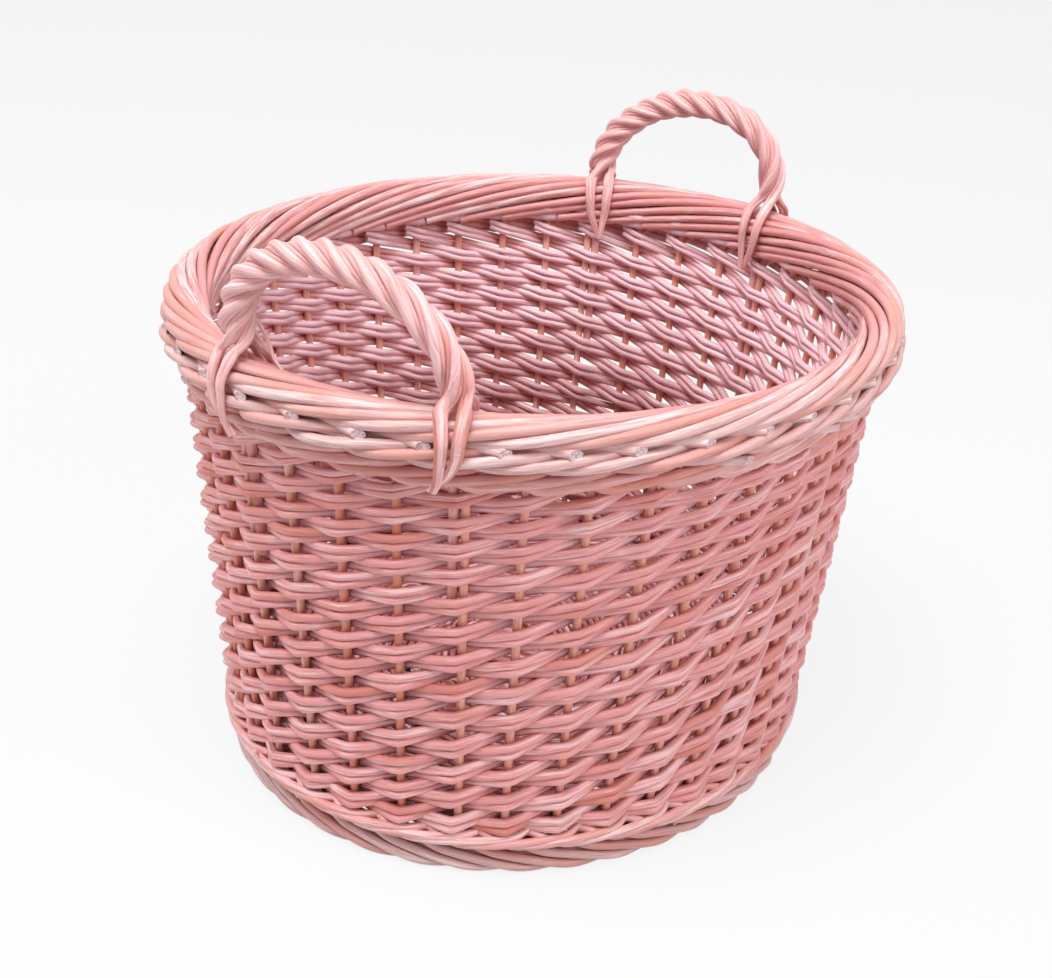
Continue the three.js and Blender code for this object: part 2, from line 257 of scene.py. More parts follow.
class Graph:
    """The node tree of one material or of the world, emptied first."""

    def __init__(self, tree: bpy.types.NodeTree) -> None:
        """Empties the tree."""
        self.tree = tree
        tree.nodes.clear()

    def add(
        self, kind: str, settings: dict | None = None, inputs: dict | None = None, output: int | str = 0
    ) -> Socket:
        """Adds a node.

        Args:
            kind: the node's type.
            settings: its settings, set before its sockets; stops are those of a colour ramp.
            inputs: values or sockets for its inputs, by name or number.
            output: the output to return.

        Returns:
            The output, as a Socket.
        """
        node = self.tree.nodes.new(kind)
        for name, value in (settings or {}).items():
            if name == "stops":
                while len(node.color_ramp.elements) < len(value):
                    node.color_ramp.elements.new(1.0)
                for element, (position, colour) in zip(node.color_ramp.elements, value):
                    element.position = position
                    element.color = (*colour, 1.0)
            else:
                setattr(node, name, value)
        for name, value in (inputs or {}).items():
            if isinstance(value, Socket):
                self.tree.links.new(value.output, node.inputs[name])
            else:
                node.inputs[name].default_value = value
        return Socket(self, node.outputs[output] if len(node.outputs) else None)

    def attribute(self, name: str, output: str) -> Socket:
        """Reads an attribute that the rods carry."""
        return self.add("ShaderNodeAttribute", {"attribute_name": name}, output=output)

    def noise(self, rod: Socket, grain: Grain) -> Socket:
        """Adds a noise between 0 and 1, stretched along a rod.

        Args:
            rod: the place along and across the rod.
            grain: how often the noise changes there.

        Returns:
            The noise.
        """
        scale = (grain.along, grain.across, grain.across)
        place = self.add("ShaderNodeVectorMath", {"operation": "MULTIPLY"}, {0: rod, 1: scale})
        inputs = {"Vector": place, "Scale": 1.0, "Detail": grain.detail, "Roughness": grain.roughness}
        return self.add("ShaderNodeTexNoise", {}, inputs)

    def between(self, value: Socket, low: float, high: float) -> Socket:
        """Runs smoothly from 0 to 1 while a value goes from one number to another.

        Args:
            value: the value.
            low: where it gives 0, which may also be the higher number.
            high: where it gives 1.

        Returns:
            The share.
        """
        settings = {"interpolation_type": "SMOOTHSTEP"}
        inputs = {"Value": value, "From Min": low, "From Max": high, "To Min": 0.0, "To Max": 1.0}
        return self.add("ShaderNodeMapRange", settings, inputs)

    def mix(self, share: object, first: object, second: object) -> Socket:
        """Mixes two colours.

        Args:
            share: how much of the second shows, from 0 to 1.
            first: a colour or a socket.
            second: a colour or a socket.

        Returns:
            The mixed colour.
        """
        colours = [(*c, 1.0) if isinstance(c, tuple) else c for c in (first, second)]
        inputs = {0: share, 6: colours[0], 7: colours[1]}
        return self.add("ShaderNodeMix", {"data_type": "RGBA"}, inputs, 2)


@dataclass(frozen=True)
class WillowPaint:
    """Thin satin paint over peeled willow, uneven along each rod, bare where a rod is cut, darkened low
    inside the wall as painted shade.

    Args:
        name: the material's name.
        slot: the record's material slot; not used.
        paint: the usual colour.
        warm: the colour where the paint lies thick and warm.
        pale: the colour where it is chalky or rubbed.
        inside: the colour inside the wall, near the rim.
        painted_deep_shade: the colour inside the wall near the base, darker as painted shade for the shade
            deep in the basket.
        bare: the wood at a cut end.
        pith: its darker spots.
        warmth: how much of the rods is warm, from 0 to 1.
        chalk: how much of them is pale, from 0 to 1.
        roughness: the paint's roughness.
        painted_shade_heights: where the inside turns from its painted shade near the base into its colour
            near the rim.
        inner_cover: how fully the inside's colour, with its painted shade near the base, covers the paint.
        chalk_cover: how fully the pale streaks cover it.
        groove_cover: how fully the dark ones do.
        speck_cover: how fully the pale specks do.
    """

    name: str
    slot: str
    paint: Colour = linear(0.91, 0.62, 0.61)
    warm: Colour = linear(0.85, 0.52, 0.48)
    pale: Colour = linear(0.98, 0.84, 0.85)
    inside: Colour = linear(0.95, 0.79, 0.83)
    # Painted shade: the inside of the wall darkens towards the base, where the basket lies in shade.
    painted_deep_shade: Colour = linear(0.62, 0.34, 0.33)
    bare: Colour = linear(0.92, 0.84, 0.86)
    pith: Colour = linear(0.77, 0.61, 0.64)
    warmth: float = 0.4
    chalk: float = 0.85
    roughness: float = 0.42
    painted_shade_heights: tuple[float, float] = (0.07, 0.21)
    inner_cover: float = 0.85
    chalk_cover: float = 0.7
    groove_cover: float = 0.5
    speck_cover: float = 0.3

    def material(self, wall: Wall) -> bpy.types.Material:
        """Builds the material.

        Args:
            wall: the basket's wall, which tells inside from outside.

        Returns:
            The material, which reads the rods' attributes.
        """
        made = bpy.data.materials.new(self.name)
        made.use_nodes = True
        graph = Graph(made.node_tree)
        rod = graph.attribute("rod", "Vector")
        tint = graph.attribute("tint", "Fac")
        cut = graph.attribute("cut", "Fac")
        blotch, streak, speck = (graph.noise(rod, grain) for grain in (BLOTCHES, STREAKS, SPECKS))

        warm_from = 0.72 - 0.4 * self.warmth
        warmth = graph.between(blotch + (tint - 0.5) * 0.5, warm_from, warm_from + 0.23)
        colour = graph.mix(warmth, self.paint, self.warm)
        place = graph.add("ShaderNodeTexCoord", output="Object")
        parts = [graph.add("ShaderNodeSeparateXYZ", {}, {0: place}, i) for i in range(3)]
        # Inside the wall the colour darkens from the rim down to the base: painted shade deep in the basket.
        inside_and_painted_shade = graph.mix(graph.between(parts[2], *self.painted_shade_heights), self.painted_deep_shade, self.inside)
        colour = graph.mix(self._inner_side(graph, wall, parts) * self.inner_cover, colour, inside_and_painted_shade)
        chalk_from = 0.66 - 0.2 * self.chalk
        chalk = graph.between(streak + (0.5 - tint) * 0.25, chalk_from, chalk_from + 0.2)
        colour = graph.mix(chalk * self.chalk_cover, colour, self.pale)
        shade = tuple(0.5 * v for v in self.warm)
        colour = graph.mix(graph.between(streak, 0.46, 0.28) * self.groove_cover, colour, shade)
        colour = graph.mix(graph.between(speck, 0.68, 0.8) * self.speck_cover, colour, self.pale)
        end = graph.mix(graph.between(speck, 0.35, 0.65), self.bare, self.pith)
        colour = graph.mix(cut, colour, end)

        height = streak + speck * 0.4
        bump = graph.add("ShaderNodeBump", {}, {"Strength": 0.35, "Distance": 0.25 * MM, "Height": height})
        inputs = {
            "Base Color": colour,
            "Roughness": cut * 0.3 + (streak * 0.22 + (self.roughness - 0.11)),
            "Normal": bump,
            "Specular IOR Level": 0.45,
        }
        surface = graph.add("ShaderNodeBsdfPrincipled", {}, inputs)
        graph.add("ShaderNodeOutputMaterial", {}, {"Surface": surface})
        return made

    def _inner_side(self, graph: Graph, wall: Wall, parts: list[Socket]) -> Socket:
        """Tells inside from outside.

        Args:
            graph: the material's graph.
            wall: the basket's wall.
            parts: the place's X, Y and Z.

        Returns:
            1 inside the wall's middle line and 0 outside it, with a soft step.
        """
        ratios = []
        for axis in (0, 1):
            slope = (wall.rim[axis] - wall.foot[axis]) / wall.height
            ratios.append(parts[axis] / (parts[2] * slope + wall.foot[axis]))
        reach = (ratios[0] * ratios[0] + ratios[1] * ratios[1]) ** 0.5
        return graph.between(reach, 1.012, 0.985)


WEAVER_PAINT = WillowPaint("painted weavers", "weavers")
STAKE_PAINT = WillowPaint(
    "painted stakes",
    "stakes",
    paint=linear(0.93, 0.65, 0.57),
    warm=linear(0.90, 0.57, 0.48),
    pale=linear(0.97, 0.79, 0.72),
    inside=linear(0.90, 0.64, 0.58),
    warmth=0.6,
)
BORDER_PAINT = WillowPaint(
    "painted border rods",
    "border_rods",
    paint=linear(0.87, 0.68, 0.67),
    warm=linear(0.86, 0.60, 0.56),
    pale=linear(0.95, 0.86, 0.86),
    inside=linear(0.86, 0.57, 0.56),
    chalk=0.8,
    roughness=0.4,
)
WALE_PAINT = WillowPaint(
    "painted wale rods",
    "border_rods",
    paint=linear(0.89, 0.64, 0.62),
    warm=linear(0.86, 0.56, 0.51),
)
# The base rods are painted darker than the wall: painted shade for the shaded bottom of the basket.
SHADED_BASE_PAINT = WillowPaint("painted base rods", "base_rods", paint=linear(0.72, 0.45, 0.44))
HANDLE_PAINT = WillowPaint(
    "painted handle rods",
    "handle_rods",
    paint=linear(0.95, 0.73, 0.73),
    # The handle's warm colour is dark: besides the paint's warm blotches it is painted shade on the thin
    # rods in the grooves between the groups.
    warm=linear(0.81, 0.51, 0.46),
    pale=linear(0.99, 0.88, 0.88),
    inside=linear(0.92, 0.69, 0.68),
    warmth=0.55,
    chalk=0.7,
)


@dataclass
class Rod:
    """One rod: the points of its middle line and its radius at each.

    Args:
        points: the middle line.
        radii: the radius at each point.
        flat: how wide its section is for its height.
        cut: the way that a slanting cut at its last point faces, or None for a square cut.
    """

    points: list[Vector]
    radii: list[float]
    flat: float = 1.0
    cut: Vector | None = None

    @classmethod
    def tapering(cls, points: list[Vector], butt: float, tip: float, flat: float = 1.0) -> "Rod":
        """Makes a rod that tapers evenly from its butt to its tip."""
        last = len(points) - 1
        return cls(points, [blend(butt, tip, i / last) for i in range(len(points))], flat)

    def ahead(self, i: int) -> Vector:
        """Returns the rod's direction at a point."""
        return (self.points[min(len(self.points) - 1, i + 1)] - self.points[max(0, i - 1)]).normalized()

    def frames(self) -> list[Matrix]:
        """Carries a frame along the rod without twist.

        Returns:
            A frame at each point, scaled to the radius there.
        """
        frames = []
        across = None
        for i, point in enumerate(self.points):
            ahead = self.ahead(i)
            if across is None:
                across = UP.cross(ahead) if abs(ahead.z) < 0.95 else Vector((1, 0, 0))
            across = (across - ahead * across.dot(ahead)).normalized()
            radius = self.radii[i]
            sides = [across * radius * self.flat, ahead.cross(across) * radius]
            if self.cut and i == len(self.points) - 1:
                sides = [side - ahead * (side.dot(self.cut) / ahead.dot(self.cut)) for side in sides]
            frame = Matrix([(*sides[0], 0), (*sides[1], 0), (*(ahead * radius), 0), (*point, 1)])
            frames.append(frame.transposed())
        return frames


class RodBundle:
    """One mesh of swept rods, which carries what the paint reads.

    Args:
        name: the piece's name.
        seed: the seed of its rods' tints.
        sides: how many sides a rod's section has.
    """

    def __init__(self, name: str, seed: int, sides: int = 8) -> None:
        """Starts without a rod."""
        self.name = name
        self.sides = sides
        self.rng = random.Random(seed)
        self.swept: list[bpy.types.Mesh] = []

    def lay(self, rod: Rod, tint: float | None = None) -> None:
        """Sweeps a circle along a rod's middle line and closes both ends.

        Args:
            rod: the rod.
            tint: its tint from 0, pale, to 1, warm, or None to draw one.
        """
        frames = rod.frames()
        drawn = self.rng.random()
        tint = drawn if tint is None else tint
        shift = Vector((self.rng.uniform(0, 9), self.rng.uniform(0, 9), self.rng.uniform(0, 9)))
        mesh = bmesh.new()
        layers = mesh.verts.layers
        rod_layer, tint_layer = layers.float_vector.new("rod"), layers.float.new("tint")
        cut_layer = layers.float.new("cut")
        circle = {"cap_ends": True, "segments": self.sides, "radius": 1.0, "matrix": frames[0]}
        ring = bmesh.ops.create_circle(mesh, **circle)["verts"]
        caps = list(set(ring[0].link_faces))
        edges = caps[0].edges[:]
        along = 0.0
        for i, frame in enumerate(frames):
            if i > 0:
                geometry = bmesh.ops.extrude_edge_only(mesh, edges=edges)["geom"]
                ring = [v for v in geometry if isinstance(v, bmesh.types.BMVert)]
                new = set(ring)
                edges = [
                    e
                    for e in geometry
                    if isinstance(e, bmesh.types.BMEdge) and e.verts[0] in new and e.verts[1] in new
                ]
                bmesh.ops.transform(mesh, matrix=frame @ frames[i - 1].inverted(), verts=ring)
                along += (rod.points[i] - rod.points[i - 1]).length
            level = UP.cross(rod.ahead(i))
            level = level.normalized() if level.length > 0.1 else Vector((1, 0, 0))
            rise = rod.ahead(i).cross(level)
            for vertex in ring:
                offset = vertex.co - rod.points[i]
                vertex[rod_layer] = Vector((along, offset.dot(level), offset.dot(rise))) + shift
                vertex[tint_layer] = tint
        for face in mesh.faces:
            face.smooth = True
        caps += bmesh.ops.contextual_create(mesh, geom=edges)["faces"]
        for cap, radius in zip(caps, (rod.radii[0], rod.radii[-1])):
            for edge in cap.edges:
                edge.smooth = False
            cap.smooth = False
            thickness, depth = CHAMFER[0] * radius, CHAMFER[1] * radius
            bmesh.ops.inset_individual(mesh, faces=[cap], thickness=thickness, depth=depth)
            for vertex in cap.verts:
                vertex[cut_layer] = 1.0
        bmesh.ops.recalc_face_normals(mesh, faces=mesh.faces)
        self.swept.append(bpy.data.meshes.new(f"{self.name}_rod"))
        mesh.to_mesh(self.swept[-1])
        mesh.free()

    def finish(self, material: bpy.types.Material, paint: WillowPaint, *nodes: str) -> bpy.types.Object:
        """Turns the rods into a piece of the basket.

        Args:
            material: the piece's material.
            paint: the finish; not used.
            nodes: the frame's nodes that the piece stands for.

        Returns:
            The piece.
        """
        mesh = bmesh.new()
        for swept in self.swept:
            mesh.from_mesh(swept)
            bpy.data.meshes.remove(swept)
        data = bpy.data.meshes.new(self.name)
        mesh.to_mesh(data)
        mesh.free()
        data.materials.append(material)
        piece = bpy.data.objects.new(self.name, data)
        bpy.context.scene.collection.objects.link(piece)
        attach(piece, "root")
        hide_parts(*nodes)
        LOG.info("%s: %d vertices, stands for %s", self.name, len(data.vertices), ", ".join(nodes))
        return piece


@dataclass
class SubAssembly:
    """What every part of the basket knows: the wall and its own finish."""

    wall: Wall
    paint: WillowPaint

    @functools.cached_property
    def material(self) -> bpy.types.Material:
        """The finish's material, made once."""
        return self.paint.material(self.wall)


class Side(Enum):
    """The two ends of the basket, each with its handle."""

    RIGHT = "right"
    LEFT = "left"

    def legs(self, wall: Wall) -> list["Leg"]:
        """Finds the legs of this side's handle.

        Args:
            wall: the basket's wall.

        Returns:
            The two legs, the one at +Y first.
        """
        half = wall.stakes // 2
        if self is Side.RIGHT:
            return [Leg(2, -1), Leg(wall.stakes - 2, 1)]
        return [Leg(half - 2, 1), Leg(half + 2, -1)]


@dataclass(frozen=True)
class Leg:
    """A handle leg beside a stake.

    Args:
        step: the stake's step.
        inward: 1 where the handle's middle lies anticlockwise of the leg, or else -1.
        bow_aside: how far the leg's middle stands from the stake's own step.
        stake_aside: how far the stake gives way to the other side.
    """

    step: int
    inward: int
    bow_aside: float = 2.55 * MM
    stake_aside: float = 2.95 * MM


def all_legs(wall: Wall) -> dict[int, Leg]:
    """Returns the four handle legs by their stake's step."""
    return {leg.step: leg for side in Side for leg in side.legs(wall)}


@dataclass
class Stakes(SubAssembly):
    """The uprights, joined two by two where they turn up from the base.

    Args:
        radius: a stake's radius.
        bend: the radius of the bend at its foot.
        top: the height of its top, inside the border.
        sway: how far it wanders sideways.
        points: how many points its upright takes.
        bend_points: how many more the bend takes.
    """

    radius: float = 2.4 * MM
    bend: float = 4 * MM
    top: float = 257 * MM
    sway: float = 0.35 * MM
    points: int = 14
    bend_points: int = 4

    def build(self) -> None:
        """Builds one piece for each pair of stakes."""
        for pair in range(self.wall.stakes // 2):
            name = f"stake_pair_{pair + 1:02d}"
            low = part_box(name)[0][2] + self.radius
            bundle = RodBundle(f"stakes_{pair + 1:02d}", 100 + pair)
            points = self._upright(2 * pair, 2 * pair + 1, low, bundle.rng)
            points += reversed(self._upright(2 * pair + 1, 2 * pair, low, bundle.rng))
            bundle.lay(Rod.tapering(points, self.radius, self.radius))
            bundle.finish(self.material, self.paint, name)

    def _upright(self, step: int, other: int, low: float, rng: random.Random) -> list[Vector]:
        """Lays one stake of a pair.

        Args:
            step: its own step.
            other: the step of the other stake.
            low: the height of the bend's lowest middle.
            rng: the source of its unevenness.

        Returns:
            Its middle line, from its top to the middle of the bend at its foot.
        """
        leg = all_legs(self.wall).get(step)
        aside = -leg.inward * leg.stake_aside if leg else 0.0
        wander = Wander(rng)
        points = []
        for i in range(self.points):
            z = blend(self.top, low + self.bend, i / (self.points - 1))
            sway = self.sway * wander.at(z * 60)
            points.append(self.wall.place(step, z).moved(0, 0, aside + sway))
        corner = self.wall.place(step, low).moved(0, 0, aside)
        sideways = (self.wall.place(other, low).point - corner).normalized()
        for i in range(1, self.bend_points + 1):
            turn = i / self.bend_points * math.pi / 2
            rise = self.bend * (1 - math.sin(turn))
            run = self.bend * (1 - math.cos(turn))
            points.append(corner + sideways * run + UP * rise)
        return points


@dataclass
class SideWeave(SubAssembly):
    """The side: a pair of rods started at every stake, which passes outside one stake and inside
    the next, half a row higher each time, so that all the pairs climb the wall side by side.

    Args:
        courses: how many side_weave nodes the frame has.
        rows: the heights of a pair's outside strokes, in mm.
        first_climb: how much lower a pair starts, in mm for a row.
        last_climb: how much higher it ends, in mm for a row.
        lead: how many stakes it runs on past its first and last strokes.
        reach: how far its middle swings from the wall's middle line.
        doubled_reach: how much further it swings where a handle's bow stands beside the stake.
        sharpness: how straight it runs between two stakes, up to 1.
        butt: a rod's radius at its butt.
        tip: its radius at its tip.
        taper_from: the row from which it tapers.
        apart: how far each rod lies from the pair's middle, at a stake and between two stakes.
        roll: how far the upper rod leans outward between two stakes, and how much that varies.
        points_per_stake: how many points a stake step takes.
    """

    courses: int = 24
    rows: tuple[float, ...] = (33, 50, 67, 84.5, 103, 120.5, 138, 156, 173.5, 189.5, 204, 218.5, 232.5)
    first_climb: float = 5.0
    last_climb: float = 21.0
    lead: float = 1.3
    reach: float = 4.8 * MM
    doubled_reach: float = 0.9 * MM
    sharpness: float = 0.993
    butt: float = 2.5 * MM
    tip: float = 1.95 * MM
    taper_from: float = 5.0
    apart: tuple[float, float] = (2.5 * MM, 2.25 * MM)
    roll: tuple[float, float] = (0.8 * MM, 0.5 * MM)
    points_per_stake: int = 10

    def build(self) -> None:
        """Builds one piece for each pair of weavers."""
        legs = all_legs(self.wall)
        names = [f"side_weave_{course + 1:02d}" for course in range(self.courses)]
        for stake in range(self.wall.stakes):
            bundle = RodBundle(f"weaver_pair_{stake + 1:02d}", 300 + stake)
            drift = Wander(bundle.rng)
            shade = bundle.rng.random()
            for hand in (-1, 1):
                tint = blend(shade, bundle.rng.random(), 0.6)
                bundle.lay(self._weaver(stake, hand, drift, bundle.rng, legs), tint)
            bundle.finish(self.material, self.paint, *names)

    def swing(self, step: float) -> float:
        """Returns 1 outside a stake and -1 inside the next, and runs nearly straight between them."""
        return math.asin(self.sharpness * math.cos(math.pi * step)) / math.asin(self.sharpness)

    def height(self, row: float) -> float:
        """Finds the height of a pair's middle.

        Args:
            row: the row, counted by the pair's outside strokes.

        Returns:
            The height.
        """
        last = len(self.rows) - 1
        if row <= 0:
            return (self.rows[0] + self.first_climb * row) * MM
        if row >= last:
            return (self.rows[last] + self.last_climb * (row - last)) * MM
        below = math.floor(row)
        return blend(self.rows[below], self.rows[below + 1], row - below) * MM

    def _weaver(
        self, stake: int, hand: int, drift: Wander, rng: random.Random, legs: dict[int, Leg]
    ) -> Rod:
        """Lays one rod of a pair up the wall.

        Args:
            stake: the stake that the pair first passes outside.
            hand: 1 for the pair's upper rod and -1 for its lower one.
            drift: the unevenness that both rods share.
            rng: the source of the rod's own unevenness.
            legs: the handle legs by step.

        Returns:
            The rod, which starts and ends inside, behind a stake.
        """
        rows = len(self.rows) - 1
        wander_out, wander_up, lean = Wander(rng), Wander(rng), Wander(rng, 0.1, 0.7)
        stout = rng.uniform(0.96, 1.05)
        points, radii = [], []
        for run in course_steps(-self.lead, 2 * rows + self.lead, self.points_per_stake):
            step, row = stake + run, run / 2
            swing = self.swing(run)
            radius = blend(self.butt, self.tip, (row - self.taper_from) / (rows - self.taper_from))
            radius = stout * min(self.butt, radius)
            share = radius / self.butt
            nearest = round(step) % self.wall.stakes
            doubled = self.doubled_reach * (1 - 2 * abs(step - round(step))) if nearest in legs else 0.0
            crossing = (1 - swing * swing) ** 2
            out = swing * (self.reach - 0.8 * (self.butt - radius) + doubled)
            out += hand * share * (self.roll[0] + self.roll[1] * lean.at(run)) * crossing
            out += (0.25 * wander_out.at(run) + 0.3 * drift.at(run)) * MM
            up = hand * share * blend(*self.apart, crossing)
            up += (0.3 * wander_up.at(run) + 0.7 * drift.at(9 + run)) * MM
            points.append(self.wall.place(step, self.height(row)).moved(out, up))
            radii.append(radius)
        return Rod(points, radii)


class WaleLevel(Enum):
    """Where a wale lies: its frame nodes, how far it fills below and above them, its rods' radius."""

    TOP = ("top_wale", 2.5 * MM, 2.0 * MM, 2.75 * MM)
    BOTTOM = ("bottom_wale", 5.3 * MM, -8.4 * MM, 2.45 * MM)


@dataclass
class Wale(SubAssembly):
    """A round of four rods, each passing outside three stakes and inside the fourth.

    Args:
        level: the wale at the top or the one at the bottom.
        rods: how many rods it has, and how many stakes one stroke takes.
        reach: how far a rod swings from the wall's middle line.
        bulge: how much further out it stands in the middle of its stroke.
        lengths: how many lengths a rod is joined from.
        tuck: how many stakes a length runs on past its join.
        sunk: how far inward a length's end is drawn, in radii of the rod.
        raised: how far it rises there, in radii too.
        cut_tips: how many of the stakes have a cut tip beside them, as a share.
        points_per_stake: how many points a stake step takes.
    """

    level: WaleLevel = WaleLevel.TOP
    rods: int = 4
    reach: float = 5.4 * MM
    bulge: float = 1.3 * MM
    lengths: int = 3
    tuck: float = 0.42
    sunk: float = 0.8
    raised: float = 1.8
    cut_tips: float = 0.5
    points_per_stake: int = 7

    def build(self) -> None:
        """Builds one piece for each rod of the wale."""
        node, below, above, radius = self.level.value
        names = [f"{node}_{i}" for i in (1, 2, 3)]
        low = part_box(names[0])[0][2] - below + radius
        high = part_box(names[-1])[1][2] + above - radius
        seed = 500 if self.level is WaleLevel.TOP else 520
        for i in range(self.rods):
            bundle = RodBundle(f"{node}_rod_{i + 1}", seed + i)
            for rod in self._strands(i, low, high, radius, bundle.rng):
                bundle.lay(rod)
            bundle.finish(self.material, self.paint, names[min(i, len(names) - 1)])
        self._cut_tips(node, names, low, high)

    def _strands(self, number: int, low: float, high: float, radius: float, rng: random.Random) -> list[Rod]:
        """Lays one rod of the wale once round, in long strokes that rise anticlockwise.

        Args:
            number: the rod's number.
            low: the height of a stroke's start.
            high: the height of its end.
            radius: the rod's radius.
            rng: the source of its unevenness.

        Returns:
            The lengths that it is joined from, each of which starts and ends inside.
        """
        start = -number % self.rods
        length = self.rods * round(self.wall.stakes / self.lengths / self.rods)
        joins = [start + i * length for i in range(self.lengths)] + [start + self.wall.stakes]
        made = []
        for first, last in zip(joins, joins[1:]):
            wander_out, wander_up = Wander(rng), Wander(rng)
            points = []
            for step in course_steps(first - self.tuck, last + self.tuck, self.points_per_stake):
                phase = (step - start) % self.rods
                away = min(phase, self.rods - phase)
                out = self.reach * (2 * ease(away) - 1)
                if 1 <= phase <= self.rods - 1:
                    out += self.bulge * math.sin(math.pi * (phase - 1) / (self.rods - 2))
                climb = 1.0
                if 0.5 < phase < self.rods - 0.5:
                    climb = blend(1.0, (phase - 0.5) / (self.rods - 1), ease((phase - 0.5) / 0.8))
                ending = ease((step - last + 0.8) / 0.6)
                out += 0.25 * MM * wander_out.at(step) - self.sunk * radius * ending
                z = blend(low, high, climb) + 0.3 * MM * wander_up.at(step) + self.raised * radius * ending
                points.append(self.wall.place(step, z).moved(out))
            made.append(Rod.tapering(points, radius * 1.06, radius * 0.92))
        return made

    def _cut_tips(self, node: str, names: list[str], low: float, high: float) -> None:
        """Adds the few thin cut tips that poke out between the strokes.

        Args:
            node: what the wale's nodes are called.
            names: the nodes.
            low: the height of a stroke's start.
            high: the height of its end.
        """
        bundle = RodBundle(f"{node}_cut_tips", 540 if self.level is WaleLevel.TOP else 560)
        rng = bundle.rng
        for stake in range(self.wall.stakes):
            if rng.random() > self.cut_tips:
                continue
            step = stake + rng.uniform(0.25, 0.75)
            z = blend(low, high, rng.uniform(0.1, 0.9))
            place = self.wall.place(step, z)
            butt = place.moved(3 * MM, -0.5 * MM, -8 * MM)
            tip = place.moved(rng.uniform(8.0, 9.0) * MM, rng.uniform(0, 1.2) * MM, rng.uniform(0, 3) * MM)
            rod = Rod.tapering([butt, butt.lerp(tip, 0.6), tip], 1.2 * MM, rng.uniform(0.9, 1.4) * MM)
            rod.cut = place.normal
            bundle.lay(rod)
        bundle.finish(self.material, self.paint, *names)


def core_steps(wall: Wall, rng: random.Random) -> list[float]:
    """Runs once round the basket from anywhere, but for a short gap between the ends.

    Args:
        wall: the basket's wall.
        rng: the source of the start.

    Returns:
        The stake steps.
    """
    start = rng.uniform(0, wall.stakes)
    return course_steps(start, start + wall.stakes - 0.3, 3)


